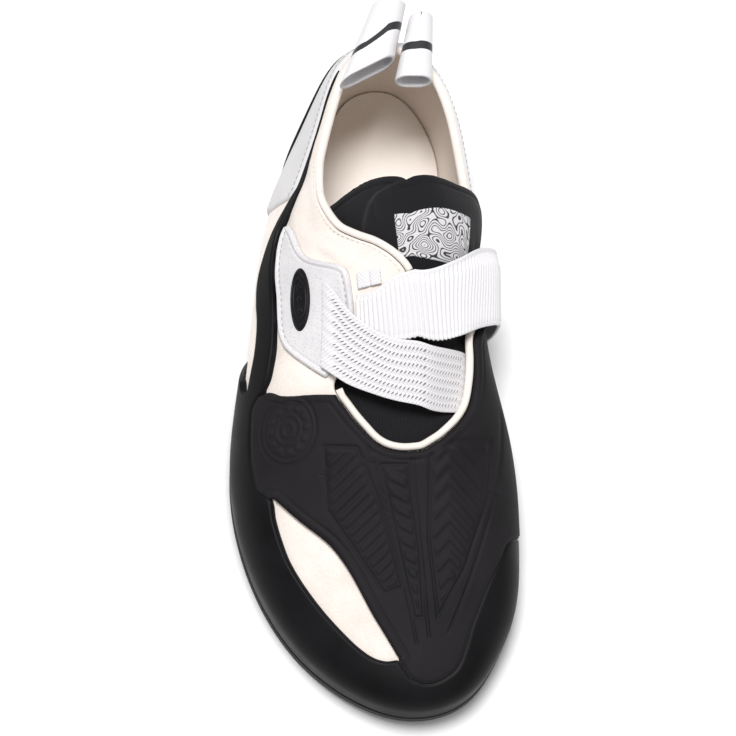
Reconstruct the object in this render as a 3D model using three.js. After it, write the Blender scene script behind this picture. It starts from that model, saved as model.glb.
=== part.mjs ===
// Climbing shoe, right foot: a low, asymmetric rock shoe with two straps.
// Millimetres, +Z up. The toe points to -Y, the heel to +Y, the inner (medial)
// side is +X and the outer (lateral) side is -X. The origin lies on the floor,
// under the flat spot below the ball of the foot.
import * as THREE from 'three';
import { mergeVertices } from 'three/addons/utils/BufferGeometryUtils.js';

// Driving dimensions of the last and the sole
const SHOE_LENGTH = 252;
const BALL_WIDTH = 102;
const TOE_HEIGHT = 27;
const ANKLE_HEIGHT = 97;
const SOLE_THICKNESS = 4.2;
const ARCH_RISE = 7;
const HEEL_RISE = 2.5;
const TOE_SPRING = 3.5;

// Walls and layers
const UPPER_WALL = 1.8;
const TONGUE_WALL = 2.6;
const INSOLE_THICKNESS = 2.2;
const RAND_THICKNESS = 1.8;
const PATCH_THICKNESS = 2.2;
const HEEL_CAP_THICKNESS = 1.8;
const PANEL_THICKNESS = 0.9;
const TAB_THICKNESS = 1.2;
const STRAP_THICKNESS = 1.3;
const LABEL_THICKNESS = 0.6;
const BINDING_WIDTH = 2.6;
const BINDING_HEIGHT = 1.5;
const LOOP_WALL = 1.2;
const FIT_GAP = 0.3;
const LAYER_GAP = 0.6;

// Plan margins between the sole's rim and the upper's feather line
const SOLE_MARGIN = 2.8;
const WAIST_MARGIN = 1.4;
const SOLE_CHAMFER = 1.1;

// The last in thirteen sections from heel to toe, evenly spaced in an angle, so
// that they crowd at both ends. lateral and medial: feather line, shares of
// BALL_WIDTH. crestAt: share of SHOE_LENGTH. crestUp: share of the rise from
// TOE_HEIGHT to ANKLE_HEIGHT. crestSide and the two bulges: shares of
// BALL_WIDTH. The two rises: shares of ANKLE_HEIGHT. full: how long the side
// wall stays upright, as a share of its height.
const SECTION_COLUMNS = [
  'lateral', 'medial', 'crestAt', 'crestUp', 'crestSide', 'bulgeLateral', 'bulgeMedial',
  'riseLateral', 'riseMedial', 'fullLateral', 'fullMedial',
];
const SECTIONS = [
  [0.015, 0.015, 0.170, 0.930, 0.010, 0.021, 0.021, 0.247, 0.247, 0.25, 0.25],
  [-0.106, 0.131, 0.182, 0.960, 0.010, 0.019, 0.017, 0.247, 0.247, 0.25, 0.28],
  [-0.186, 0.212, 0.212, 1.000, 0.015, 0.018, 0.010, 0.247, 0.247, 0.28, 0.38],
  [-0.260, 0.255, 0.256, 1.000, 0.020, 0.029, 0.021, 0.247, 0.258, 0.16, 0.45],
  [-0.292, 0.219, 0.314, 0.930, 0.038, 0.093, 0.088, 0.247, 0.309, 0.13, 0.48],
  [-0.363, 0.154, 0.385, 0.785, 0.058, 0.086, 0.165, 0.237, 0.371, 0.13, 0.55],
  [-0.457, 0.163, 0.480, 0.607, 0.080, 0.024, 0.162, 0.186, 0.309, 0.28, 0.52],
  [-0.514, 0.308, 0.585, 0.414, 0.093, 0.006, 0.098, 0.134, 0.206, 0.50, 0.52],
  [-0.484, 0.405, 0.690, 0.264, 0.095, 0.006, 0.023, 0.113, 0.144, 0.55, 0.55],
  [-0.388, 0.404, 0.775, 0.157, 0.110, 0.006, 0.008, 0.103, 0.113, 0.55, 0.55],
  [-0.245, 0.327, 0.845, 0.079, 0.113, 0.006, 0.006, 0.093, 0.098, 0.55, 0.55],
  [-0.078, 0.224, 0.893, 0.021, 0.105, 0.006, 0.006, 0.088, 0.093, 0.55, 0.55],
  [0.078, 0.078, 0.915, 0.000, 0.098, 0.006, 0.006, 0.088, 0.088, 0.55, 0.55],
];
const LAST_ROW = SECTIONS.length - 1;
const LOOP_ROWS = 2 * LAST_ROW;
const HEEL_INSET = 4.3;
const TOE_INSET = 2.9;

// Flat spots of the sole and the crown of its arch, shares of SHOE_LENGTH
const HEEL_FLAT = [0.06, 0.21];
const FOREFOOT_FLAT = [0.68, 0.88];
const BALL_REST = 0.76 * SHOE_LENGTH;

// A small vector kit on plain arrays [x, y, z]
const add = (a, b, k = 1) => [a[0] + b[0] * k, a[1] + b[1] * k, a[2] + b[2] * k];
const mix = (a, b, k) => a.map((value, i) => value + (b[i] - value) * k);
const cross = (a, b) => [
  a[1] * b[2] - a[2] * b[1],
  a[2] * b[0] - a[0] * b[2],
  a[0] * b[1] - a[1] * b[0],
];
const size = (a) => Math.hypot(...a);
const unit = (a) => a.map((value) => value / size(a));
const clamp = (x, low, high) => Math.min(Math.max(x, low), high);
const lerp = (a, b, k) => a + (b - a) * k;
function smooth(x, low, high) {
  const k = clamp((x - low) / (high - low), 0, 1);
  return k * k * (3 - 2 * k);
}

// A smooth line through the rows of a table, whose first column is the place
function fromTable(table, name, at) {
  const column = table.columns.indexOf(name);
  const rows = table.rows;
  const last = rows.length - 1;
  if (at <= rows[0][0]) return rows[0][column];
  if (at >= rows[last][0]) return rows[last][column];
  const i = rows.findIndex((row) => row[0] > at) - 1;
  const slope = (j) => {
    const before = rows[Math.max(j - 1, 0)];
    const after = rows[Math.min(j + 1, last)];
    return (after[column] - before[column]) / (after[0] - before[0]);
  };
  const span = rows[i + 1][0] - rows[i][0];
  const k = (at - rows[i][0]) / span;
  const h = 3 * k * k - 2 * k * k * k;
  return rows[i][column] * (1 - h) + rows[i + 1][column] * h
    + span * slope(i) * (k - 2 * k * k + k * k * k)
    + span * slope(i + 1) * (k * k * k - k * k);
}

// A smooth closed curve through values given at even steps round a loop
function closedSpline(values) {
  const n = values.length;
  const bend = new Array(n).fill(0);
  for (let sweep = 0; sweep < 40; sweep += 1) {
    for (let i = 0; i < n; i += 1) {
      const before = (i + n - 1) % n;
      const after = (i + 1) % n;
      const second = values[after] - 2 * values[i] + values[before];
      bend[i] = (6 * second - bend[before] - bend[after]) / 4;
    }
  }
  return (position) => {
    const p = ((position % n) + n) % n;
    const i = Math.floor(p) % n;
    const j = (i + 1) % n;
    const k = p - Math.floor(p);
    const m = 1 - k;
    return m * values[i] + k * values[j]
      + ((m * m * m - m) * bend[i] + (k * k * k - k) * bend[j]) / 6;
  };
}

// The loop position u runs 0..1 up the lateral side from heel to toe and 1..2
// back along the medial side. Each side's columns are read into one loop.
function loopOf(lateralName, medialName) {
  const lateral = SECTION_COLUMNS.indexOf(lateralName);
  const medial = SECTION_COLUMNS.indexOf(medialName);
  const values = [];
  for (let i = 0; i < LOOP_ROWS; i += 1) {
    values.push(i <= LAST_ROW ? SECTIONS[i][lateral] : SECTIONS[LOOP_ROWS - i][medial]);
  }
  const spline = closedSpline(values);
  return (u) => spline(u * LAST_ROW);
}
const featherShare = loopOf('lateral', 'medial');
const crestAtShare = loopOf('crestAt', 'crestAt');
const crestUpShare = loopOf('crestUp', 'crestUp');
const crestSideShare = loopOf('crestSide', 'crestSide');
const bulgeShare = loopOf('bulgeLateral', 'bulgeMedial');
const riseShare = loopOf('riseLateral', 'riseMedial');
const fullShare = loopOf('fullLateral', 'fullMedial');

// Height of the sole's underside above the floor, by the share of the length
function clearance(share) {
  const heel = HEEL_RISE * smooth(HEEL_FLAT[0] - share, 0, HEEL_FLAT[0]);
  const toe = TOE_SPRING * smooth(share, FOREFOOT_FLAT[1], 1.02);
  const span = clamp((share - HEEL_FLAT[1]) / (FOREFOOT_FLAT[0] - HEEL_FLAT[1]), 0, 1);
  const arch = ARCH_RISE * Math.sin(Math.PI * span) ** 2;
  return heel + arch + toe;
}
const toY = (along) => BALL_REST - along;
// Folds a loop position into its section, 0 at the heel and 1 at the toe
function sectionOf(u) {
  const turn = ((u % 2) + 2) % 2;
  return turn <= 1 ? turn : 2 - turn;
}
const isMedial = (u) => ((u % 2) + 2) % 2 > 1;
const shareAt = (u) => (1 - Math.cos(Math.PI * u)) / 2;
const FEATHER_LENGTH = SHOE_LENGTH - HEEL_INSET - TOE_INSET;

function feather(u) {
  const along = HEEL_INSET + FEATHER_LENGTH * shareAt(u);
  const up = clearance(along / SHOE_LENGTH) + SOLE_THICKNESS;
  return [featherShare(u) * BALL_WIDTH, toY(along), up + FIT_GAP];
}
function crest(u) {
  return [
    crestSideShare(u) * BALL_WIDTH,
    toY(crestAtShare(u) * SHOE_LENGTH),
    TOE_HEIGHT + crestUpShare(u) * (ANKLE_HEIGHT - TOE_HEIGHT),
  ];
}
// Horizontal direction that leaves the feather line outwards
function featherOut(u) {
  const before = feather(u - 0.004);
  const after = feather(u + 0.004);
  const outward = unit([after[1] - before[1], before[0] - after[0], 0]);
  return outward;
}
// The crest's own direction, one unit along the shoe
function crestRun(u) {
  const t = sectionOf(u);
  const from = crest(Math.max(t - 0.02, 0));
  const to = crest(Math.min(t + 0.02, 1));
  const run = to[1] - from[1];
  return [(to[0] - from[0]) / run, 1, (to[2] - from[2]) / run];
}

function bezier(p, k) {
  const m = 1 - k;
  const weights = [m * m * m, 3 * m * m * k, 3 * m * k * k, k * k * k];
  return [0, 1, 2].map((axis) => weights.reduce((sum, w, i) => sum + w * p[i][axis], 0));
}

// One column of the last's surface: feather line, bulge of the side wall,
// crest. It is sampled once and read by its share of girth.
const COLUMN_STEPS = 16;
const columns = new Map();
function column(u) {
  const key = u.toFixed(7);
  if (columns.has(key)) return columns.get(key);
  const foot = feather(u);
  const top = crest(u);
  const out = featherOut(u);
  const bulge = bulgeShare(u) * BALL_WIDTH;
  const rise = riseShare(u) * ANKLE_HEIGHT;
  const side = add(add(foot, out, bulge), [0, 0, rise]);
  const run = crestRun(u);
  const away = [foot[0] - top[0], 0, 0];
  const across = unit(add(away, run, foot[1] - top[1]));
  const full = fullShare(u);
  const reach = Math.hypot(side[0] - top[0], side[1] - top[1]);
  const lower = [
    foot,
    add(add(foot, out, bulge * 0.55), [0, 0, rise * 0.25]),
    add(side, [0, 0, -rise * 0.55]),
    side,
  ];
  const upper = [
    side,
    add(side, [0, 0, full * (top[2] - side[2])]),
    add(top, across, reach * (0.25 + 0.55 * full)),
    top,
  ];
  const points = [];
  for (const part of [lower, upper]) {
    for (let i = part === lower ? 0 : 1; i <= COLUMN_STEPS; i += 1) {
      points.push(bezier(part, i / COLUMN_STEPS));
    }
  }
  const girth = [0];
  for (let i = 1; i < points.length; i += 1) {
    girth.push(girth[i - 1] + size(add(points[i], points[i - 1], -1)));
  }
  const result = { points, girth, total: girth[girth.length - 1] };
  columns.set(key, result);
  return result;
}

// A point of the last's surface: u round the loop, v from feather to crest
function lastPoint(u, v) {
  const { points, girth, total } = column(u);
  const want = clamp(v, 0, 1) * total;
  let i = 1;
  while (i < girth.length - 1 && girth[i] < want) i += 1;
  const k = (want - girth[i - 1]) / (girth[i] - girth[i - 1]);
  return mix(points[i - 1], points[i], k);
}
// The direction that leaves the surface. Next to the feather line it turns
// level, so that every layer stands on the sole with a flat lower edge.
const LEVEL_ZONE = 0.1;
function lastNormal(u, v) {
  if (v > 0.9999) return unit(cross([1, 0, 0], crestRun(u)));
  const du = 0.003;
  const dv = 0.012;
  const along = add(lastPoint(u + du, v), lastPoint(u - du, v), -1);
  const up = add(lastPoint(u, Math.min(v + dv, 1)), lastPoint(u, Math.max(v - dv, 0)), -1);
  const normal = unit(cross(along, up));
  return unit([normal[0], normal[1], normal[2] * smooth(v, 0, LEVEL_ZONE)]);
}
// The same point raised off the surface, outwards when height is positive
const onLast = (u, v, height) => add(lastPoint(u, v), lastNormal(u, v), height);

// The other way to name a point: t from heel to toe, g across the crest from
// -1 at the lateral feather line to +1 at the medial one
const acrossCrest = (t, g, height) => (g <= 0
  ? onLast(t, 1 + g, height)
  : onLast(2 - t, 1 - g, height));

// A table of rows under named columns
const tableOf = (columnNames, rows) => ({ columns: columnNames, rows });

// The opening's edge, as a share of girth on each side: collar, the lateral
// flap that wraps over the tongue, the notch below it and the throat's U
const OPENING = tableOf(['at', 'lateral', 'medial'], [
  [0.000, 0.600, 0.600],
  [0.030, 0.596, 0.596],
  [0.083, 0.576, 0.573],
  [0.167, 0.540, 0.519],
  [0.250, 0.525, 0.494],
  [0.300, 0.542, 0.498],
  [0.335, 0.578, 0.502],
  [0.365, 0.607, 0.505],
  [0.385, 0.643, 0.508],
  [0.410, 0.708, 0.512],
  [0.425, 0.785, 0.515],
  [0.437, 0.860, 0.518],
  [0.455, 0.932, 0.520],
  [0.474, 0.968, 0.522],
  [0.488, 0.925, 0.560],
  [0.505, 0.850, 0.632],
  [0.515, 0.815, 0.653],
  [0.530, 0.762, 0.655],
  [0.545, 0.705, 0.667],
  [0.560, 0.668, 0.687],
  [0.573, 0.680, 0.707],
  [0.583, 0.704, 0.728],
  [0.598, 0.740, 0.775],
  [0.611, 0.775, 0.826],
  [0.624, 0.812, 0.880],
  [0.633, 0.850, 0.926],
  [0.639, 0.890, 0.956],
  [0.6435, 0.940, 0.982],
  [0.646, 1.000, 1.000],
]);
const THROAT_END = 0.646;
const sideOf = (u) => (isMedial(u) ? 'medial' : 'lateral');
function openingEdge(u) {
  const t = sectionOf(u);
  if (t >= THROAT_END) return 1;
  return Math.min(fromTable(OPENING, sideOf(u), t), 1);
}

// Even steps between the places where an edge turns
function stations(marks) {
  const list = [marks[0][0]];
  for (let i = 1; i < marks.length; i += 1) {
    const [end, count] = marks[i];
    const start = marks[i - 1][0];
    for (let j = 1; j <= count; j += 1) list.push(lerp(start, end, j / count));
  }
  return list;
}
const evenly = (from, to, count) => stations([[from], [to, count]]);

// Turns a soup of triangles into one closed solid with its faces outwards
function solidFrom(triangles) {
  const positions = new Float32Array(triangles.flat(2));
  let geometry = new THREE.BufferGeometry();
  geometry.setAttribute('position', new THREE.BufferAttribute(positions, 3));
  geometry = mergeVertices(geometry, 0.001);
  const index = [...geometry.index.array];
  const place = geometry.getAttribute('position');
  const at = (i) => [place.getX(i), place.getY(i), place.getZ(i)];
  let kept = [];
  let volume = 0;
  for (let i = 0; i < index.length; i += 3) {
    const [a, b, c] = index.slice(i, i + 3);
    if (a !== b && b !== c && c !== a) {
      kept.push([a, b, c]);
      const normal = cross(at(b), at(c));
      volume += at(a).reduce((sum, value, axis) => sum + value * normal[axis], 0);
    }
  }
  if (volume < 0) kept = kept.map(([a, b, c]) => [a, c, b]);
  geometry.setIndex(kept.flat());
  geometry.computeVertexNormals();
  return geometry;
}

// A wall between two skins of points, [i][j] in each. Its rims are closed
// except where joined(i) says that the far edge meets its other half.
function wallSolid(outer, inner, joined = () => false, ring = false) {
  const triangles = [];
  const face = (a, b, c, d) => triangles.push([a, b, c], [a, c, d]);
  const lastI = outer.length - 1;
  const lastJ = outer[0].length - 1;
  for (let i = 0; i < lastI; i += 1) {
    for (let j = 0; j < lastJ; j += 1) {
      face(outer[i][j], outer[i + 1][j], outer[i + 1][j + 1], outer[i][j + 1]);
      face(inner[i][j], inner[i][j + 1], inner[i + 1][j + 1], inner[i + 1][j]);
    }
    face(inner[i][0], inner[i + 1][0], outer[i + 1][0], outer[i][0]);
    if (!joined(i)) {
      face(outer[i][lastJ], outer[i + 1][lastJ], inner[i + 1][lastJ], inner[i][lastJ]);
    }
  }
  if (!ring) {
    for (let j = 0; j < lastJ; j += 1) {
      face(outer[0][j], outer[0][j + 1], inner[0][j + 1], inner[0][j]);
      face(outer[lastI][j + 1], outer[lastI][j], inner[lastI][j], inner[lastI][j + 1]);
    }
  }
  return solidFrom(triangles);
}

// A layer that follows the last over a run of loop positions
function layer({ at, low, high, rows, inner, outer, ring = false }) {
  const skin = (height) => at.map((u) => {
    const from = low(u);
    const to = high(u);
    return evenly(from, to, rows).map((v) => onLast(u, v, height));
  });
  const onCrest = (u) => high(u) > 0.9999;
  const joined = (i) => onCrest(at[i]) && onCrest(at[i + 1]);
  return wallSolid(skin(outer), skin(inner), joined, ring);
}

// A strip laid over the last from its own chart: place(s, w) gives [t, g] and
// under(s, w) the height of its underside
function strip({ along, across, place, under, thickness }) {
  const skin = (extra) => along.map((s) => across.map((w) => {
    const [t, g] = place(s, w);
    return acrossCrest(t, g, under(s, w) + extra);
  }));
  return wallSolid(skin(thickness), skin(0));
}

// How far the sole stands out past the feather line
const SOLE_EDGE = tableOf(['at', 'lateral', 'medial'], [
  [0.00, SOLE_MARGIN, SOLE_MARGIN],
  [0.26, SOLE_MARGIN, SOLE_MARGIN],
  [0.33, WAIST_MARGIN, WAIST_MARGIN],
  [0.45, WAIST_MARGIN, WAIST_MARGIN],
  [0.52, SOLE_MARGIN, SOLE_MARGIN],
  [1.00, SOLE_MARGIN, SOLE_MARGIN],
]);
const soleMargin = (u) => fromTable(SOLE_EDGE, sideOf(u), sectionOf(u));

// A plate under the foot: rings of points from the middle of its underside,
// round its edge and back to the middle of its top
function soleSolid({ steps, margin, bottom, top, edgeCut, inward }) {
  const rim = (u, back) => add(feather(u), featherOut(u), margin(u) - back);
  const at = evenly(0, 2, 2 * steps);
  const rings = [
    ...inward.map((w) => ({ w, back: edgeCut, lift: bottom })),
    { w: 1, back: edgeCut, lift: bottom },
    { w: 1, back: 0, lift: bottom + edgeCut },
    { w: 1, back: 0, lift: top - edgeCut / 2 },
    { w: 1, back: edgeCut / 2, lift: top },
    ...[...inward].reverse().map((w) => ({ w, back: edgeCut / 2, lift: top })),
  ];
  const ringPoint = (u, { w, back, lift }) => {
    const edge = rim(u, back);
    const middle = mix(edge, rim(2 - u, back), 0.5);
    const spot = mix(middle, edge, w);
    return [spot[0], spot[1], feather(u)[2] - FIT_GAP - SOLE_THICKNESS + lift];
  };
  const triangles = [];
  for (let i = 0; i < at.length - 1; i += 1) {
    for (let j = 0; j < rings.length - 1; j += 1) {
      const a = ringPoint(at[i], rings[j]);
      const b = ringPoint(at[i + 1], rings[j]);
      const c = ringPoint(at[i + 1], rings[j + 1]);
      const d = ringPoint(at[i], rings[j + 1]);
      triangles.push([a, b, c], [a, c, d]);
    }
  }
  return solidFrom(triangles);
}

const SOLE_STEPS = 32;
const outsoleShape = () => soleSolid({
  steps: SOLE_STEPS,
  margin: soleMargin,
  bottom: 0,
  top: SOLE_THICKNESS,
  edgeCut: SOLE_CHAMFER,
  inward: [0, 0.7],
});

const INSOLE_MARGIN = UPPER_WALL + 2 * FIT_GAP;
const insoleShape = () => soleSolid({
  steps: SOLE_STEPS,
  margin: () => -INSOLE_MARGIN,
  bottom: SOLE_THICKNESS + FIT_GAP,
  top: SOLE_THICKNESS + FIT_GAP + INSOLE_THICKNESS,
  edgeCut: 0.4,
  inward: [0, 0.7],
});

// Stations of the heel, the middle and the forefoot. The layers over one of
// them share its stations, so that their facets lie parallel.
const HEEL_STATIONS = stations([[0], [0.245, 7], [0.335, 5]]);
const MIDDLE_STATIONS = stations([[0.35], [0.365, 1], [0.474, 9], [0.535, 5], [0.544, 2]]);
const FOREFOOT_STATIONS = stations([
  [0.549], [0.573, 3], [0.598, 2], [0.624, 2], [0.639, 2], [0.6435, 1], [0.646, 1], [0.668, 2],
  [0.68, 1], [0.69, 1], [0.715, 1], [0.745, 1], [0.78, 1], [0.82, 1], [0.85, 1], [0.885, 2], [0.925, 3],
  [0.955, 1], [1, 2],
]);
const mirrored = (side) => [...side].reverse().map((t) => 2 - t);
const bothSides = (side) => [...side, ...mirrored(side.slice(0, -1))];
const upperShape = () => layer({
  at: bothSides([...HEEL_STATIONS, ...MIDDLE_STATIONS, ...FOREFOOT_STATIONS]),
  low: () => 0,
  high: openingEdge,
  rows: 8,
  inner: -UPPER_WALL,
  outer: 0,
  ring: true,
});

// The rubber rand's upper edge: low at the lateral waist, up to the slingshot
// band, round the leaf-shaped window, over the toe and down the medial side
const RAND_TOP = tableOf(['at', 'lateral', 'medial'], [
  [0.480, 0.030, 0.030],
  [0.500, 0.120, 0.030],
  [0.520, 0.215, 0.030],
  [0.535, 0.258, 0.030],
  [0.539, 0.350, 0.030],
  [0.544, 0.368, 0.030],
  [0.549, 0.350, 0.030],
  [0.556, 0.325, 0.030],
  [0.565, 0.320, 0.030],
  [0.635, 0.325, 0.030],
  [0.650, 0.368, 0.030],
  [0.670, 0.362, 0.200],
  [0.690, 0.360, 0.400],
  [0.720, 0.362, 0.475],
  [0.765, 0.390, 0.545],
  [0.820, 0.436, 0.572],
  [0.860, 0.470, 0.548],
  [0.885, 0.505, 0.525],
  [0.905, 0.560, 0.514],
  [0.925, 0.645, 0.525],
  [0.955, 0.640, 0.545],
  [0.980, 0.612, 0.570],
  [1.000, 0.598, 0.598],
]);
const RAND_START = 0.480;
const RAND_REACH = 0.655;
const randTop = (u) => fromTable(RAND_TOP, sideOf(u), sectionOf(u));
const randShape = () => layer({
  at: [
    ...stations([[RAND_START], [0.535, 4], [0.544, 2]]),
    ...FOREFOOT_STATIONS,
    ...mirrored(FOREFOOT_STATIONS.filter((t) => t > RAND_REACH && t < 1)),
  ],
  low: () => 0,
  high: randTop,
  rows: 7,
  inner: LAYER_GAP,
  outer: LAYER_GAP + RAND_THICKNESS,
});

// A gap measured across the surface, as a share of the girth there
const gapShare = (u) => FIT_GAP / column(u).total;

// The toe patch: over the forefoot and the big toe joint, round the throat,
// with a tail that points back along the medial arch
const PATCH_LEAF = tableOf(['at', 'edge'], [
  [0.650, 0.388],
  [0.680, 0.465],
  [0.715, 0.556],
  [0.745, 0.598],
  [0.780, 0.624],
  [0.820, 0.642],
  [0.870, 0.662],
  [0.925, 0.668],
]);
const PATCH_TAIL = tableOf(['at', 'low', 'high'], [
  [0.455, 0.395, 0.412],
  [0.480, 0.250, 0.495],
  [0.500, 0.125, 0.592],
  [0.513, 0.045, 0.640],
  [0.520, 0.000, 0.650],
]);
const PATCH_BACK = tableOf(['at', 'edge'], [
  [0.549, 0.410],
  [0.556, 0.458],
  [0.562, 0.541],
  [0.567, 0.619],
  [0.573, 0.700],
]);
const PATCH_TAIL_TIP = 0.455;
const TAIL_ROOT = 0.520;
const LEAF_START = 0.650;
const LEAF_END = 0.925;
function patchLow(u) {
  const t = sectionOf(u);
  const overRand = randTop(u) + gapShare(u);
  if (!isMedial(u)) {
    return t > LEAF_START && t < LEAF_END ? fromTable(PATCH_LEAF, 'edge', t) : overRand;
  }
  if (t < TAIL_ROOT) return fromTable(PATCH_TAIL, 'low', t);
  return t < RAND_REACH ? 0 : overRand;
}
function patchHigh(u) {
  const t = sectionOf(u);
  if (isMedial(u) && t < TAIL_ROOT) return fromTable(PATCH_TAIL, 'high', t);
  const back = isMedial(u) || t > 0.572 ? 1 : fromTable(PATCH_BACK, 'edge', t);
  return Math.min(openingEdge(u), back);
}
const patchShape = () => layer({
  at: [
    ...bothSides(FOREFOOT_STATIONS),
    ...stations([[2 - 0.538], [2 - TAIL_ROOT, 1], [2 - PATCH_TAIL_TIP, 4]]),
  ],
  low: patchLow,
  high: patchHigh,
  rows: 6,
  inner: LAYER_GAP,
  outer: LAYER_GAP + PATCH_THICKNESS,
});

// The slingshot band: from the rand back along the lateral wall, then as a
// narrow strip over the heel panel's upper edge
const BAND = tableOf(['at', 'low', 'high'], [
  [0.150, 0.493, 0.498],
  [0.200, 0.487, 0.497],
  [0.250, 0.488, 0.498],
  [0.300, 0.488, 0.498],
  [0.325, 0.484, 0.497],
  [0.340, 0.473, 0.490],
  [0.349, 0.455, 0.479],
  [0.360, 0.437, 0.466],
  [0.370, 0.417, 0.452],
  [0.380, 0.395, 0.436],
  [0.390, 0.373, 0.418],
  [0.400, 0.356, 0.408],
  [0.410, 0.341, 0.402],
  [0.435, 0.306, 0.394],
  [0.457, 0.300, 0.402],
  [0.476, 0.306, 0.404],
  [0.502, 0.298, 0.404],
  [0.519, 0.285, 0.398],
  [0.534, 0.273, 0.388],
]);
const bandShape = () => layer({
  at: stations([[0.150], [0.2, 2], [0.325, 5], [0.34, 1], [0.349, 1], [0.39, 4], [0.457, 4], [0.534, 5]]),
  low: (u) => fromTable(BAND, 'low', u),
  high: (u) => fromTable(BAND, 'high', u),
  rows: 2,
  inner: LAYER_GAP,
  outer: LAYER_GAP + RAND_THICKNESS,
});

// The heel cap, low at its rounded front ends
const HEEL_CAP = tableOf(['at', 'lateral', 'medial'], [
  [0.000, 0.300, 0.300],
  [0.100, 0.292, 0.290],
  [0.200, 0.272, 0.268],
  [0.250, 0.255, 0.225],
  [0.280, 0.220, 0.150],
  [0.300, 0.155, 0.060],
  [0.320, 0.050, 0.030],
]);
const capTop = (u) => fromTable(HEEL_CAP, sideOf(u), sectionOf(u));
const CAP_ENDS = [-0.305, 0.322];
const CAP_STATIONS = [
  CAP_ENDS[0],
  ...HEEL_STATIONS.filter((t) => t > 0 && t < 0.30).reverse().map((t) => -t),
  ...HEEL_STATIONS.filter((t) => t < 0.32),
  CAP_ENDS[1],
];
const heelCapShape = () => layer({
  at: CAP_STATIONS,
  low: () => 0,
  high: capTop,
  rows: 4,
  inner: LAYER_GAP,
  outer: LAYER_GAP + HEEL_CAP_THICKNESS,
});

// The smooth panel round the heel and along the medial arch, from the heel
// cap up to the collar, with its medial end cut along the patch's tail
const PANEL_TOP = tableOf(['at', 'lateral', 'medial'], [
  [0.000, 0.520, 0.520],
  [0.100, 0.495, 0.490],
  [0.200, 0.478, 0.458],
  [0.300, 0.482, 0.448],
  [0.340, 0.470, 0.448],
  [0.349, 0.445, 0.448],
  [0.430, 0.445, 0.438],
  [0.452, 0.445, 0.360],
  [0.480, 0.445, 0.220],
  [0.500, 0.445, 0.100],
  [0.508, 0.445, 0.055],
]);
const PANEL_LOW = tableOf(['at', 'lateral', 'medial'], [
  [0.325, 0.000, 0.000],
  [0.337, 0.120, 0.000],
  [0.349, 0.280, 0.000],
  [0.508, 0.280, 0.000],
]);
const PANEL_ENDS = [-0.508, 0.349];
function panelLow(u) {
  const capped = u >= CAP_ENDS[0] && u <= CAP_ENDS[1];
  const overCap = capped ? capTop(u) + gapShare(u) : 0;
  return Math.max(overCap, fromTable(PANEL_LOW, sideOf(u), sectionOf(u)));
}
const heelPanelShape = () => layer({
  at: [
    ...stations([[PANEL_ENDS[0]], [-0.43, 5], [-0.315, 4]]),
    ...CAP_STATIONS,
    ...stations([[0.33], [PANEL_ENDS[1], 4]]),
  ],
  low: panelLow,
  high: (u) => fromTable(PANEL_TOP, sideOf(u), sectionOf(u)),
  rows: 8,
  inner: LAYER_GAP,
  outer: LAYER_GAP + PANEL_THICKNESS,
});

// The tab on the lateral quarter that carries both straps
const TAB = tableOf(['at', 'low', 'high'], [
  [0.386, 0.442, 0.462],
  [0.395, 0.424, 0.487],
  [0.410, 0.410, 0.514],
  [0.422, 0.405, 0.540],
  [0.431, 0.402, 0.575],
  [0.438, 0.402, 0.627],
  [0.445, 0.404, 0.688],
  [0.452, 0.407, 0.730],
  [0.460, 0.410, 0.745],
  [0.480, 0.413, 0.754],
  [0.494, 0.421, 0.757],
  [0.505, 0.440, 0.755],
  [0.512, 0.458, 0.752],
  [0.524, 0.506, 0.738],
  [0.536, 0.560, 0.706],
  [0.546, 0.606, 0.668],
  [0.552, 0.635, 0.645],
]);
const tabShape = () => layer({
  at: stations([[0.386], [0.395, 1], [0.431, 3], [0.452, 3], [0.494, 3], [0.512, 2], [0.552, 4]]),
  low: (u) => fromTable(TAB, 'low', u),
  high: (u) => fromTable(TAB, 'high', u),
  rows: 4,
  inner: FIT_GAP,
  outer: FIT_GAP + TAB_THICKNESS,
});

// The tongue. Its edges pass under the flap and the throat; its top stands
// free above the instep. Places are [t, g] over the crest.
const TONGUE_EDGES = tableOf(['at', 'lateral', 'medial'], [
  [0.340, -0.385, 0.450],
  [0.400, -0.430, 0.450],
  [0.440, -0.400, 0.450],
  [0.465, -0.360, 0.455],
  [0.485, -0.340, 0.520],
  [0.550, -0.370, 0.480],
  [0.600, -0.310, 0.320],
  [0.640, -0.180, 0.185],
  [0.700, -0.110, 0.110],
]);
const TONGUE_TOP = tableOf(['across', 't'], [
  [0.00, 0.381],
  [0.05, 0.373],
  [0.15, 0.363],
  [0.26, 0.357],
  [0.43, 0.358],
  [0.60, 0.364],
  [0.77, 0.364],
  [0.88, 0.361],
  [0.95, 0.362],
  [1.00, 0.370],
]);
const TONGUE_TIP = 0.700;
const TONGUE_SINK = UPPER_WALL + STRAP_THICKNESS + 3 * FIT_GAP;
const TONGUE_PROUD = 0.6;
const UNDER_FLAP = UPPER_WALL + 2 * FIT_GAP;
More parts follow.
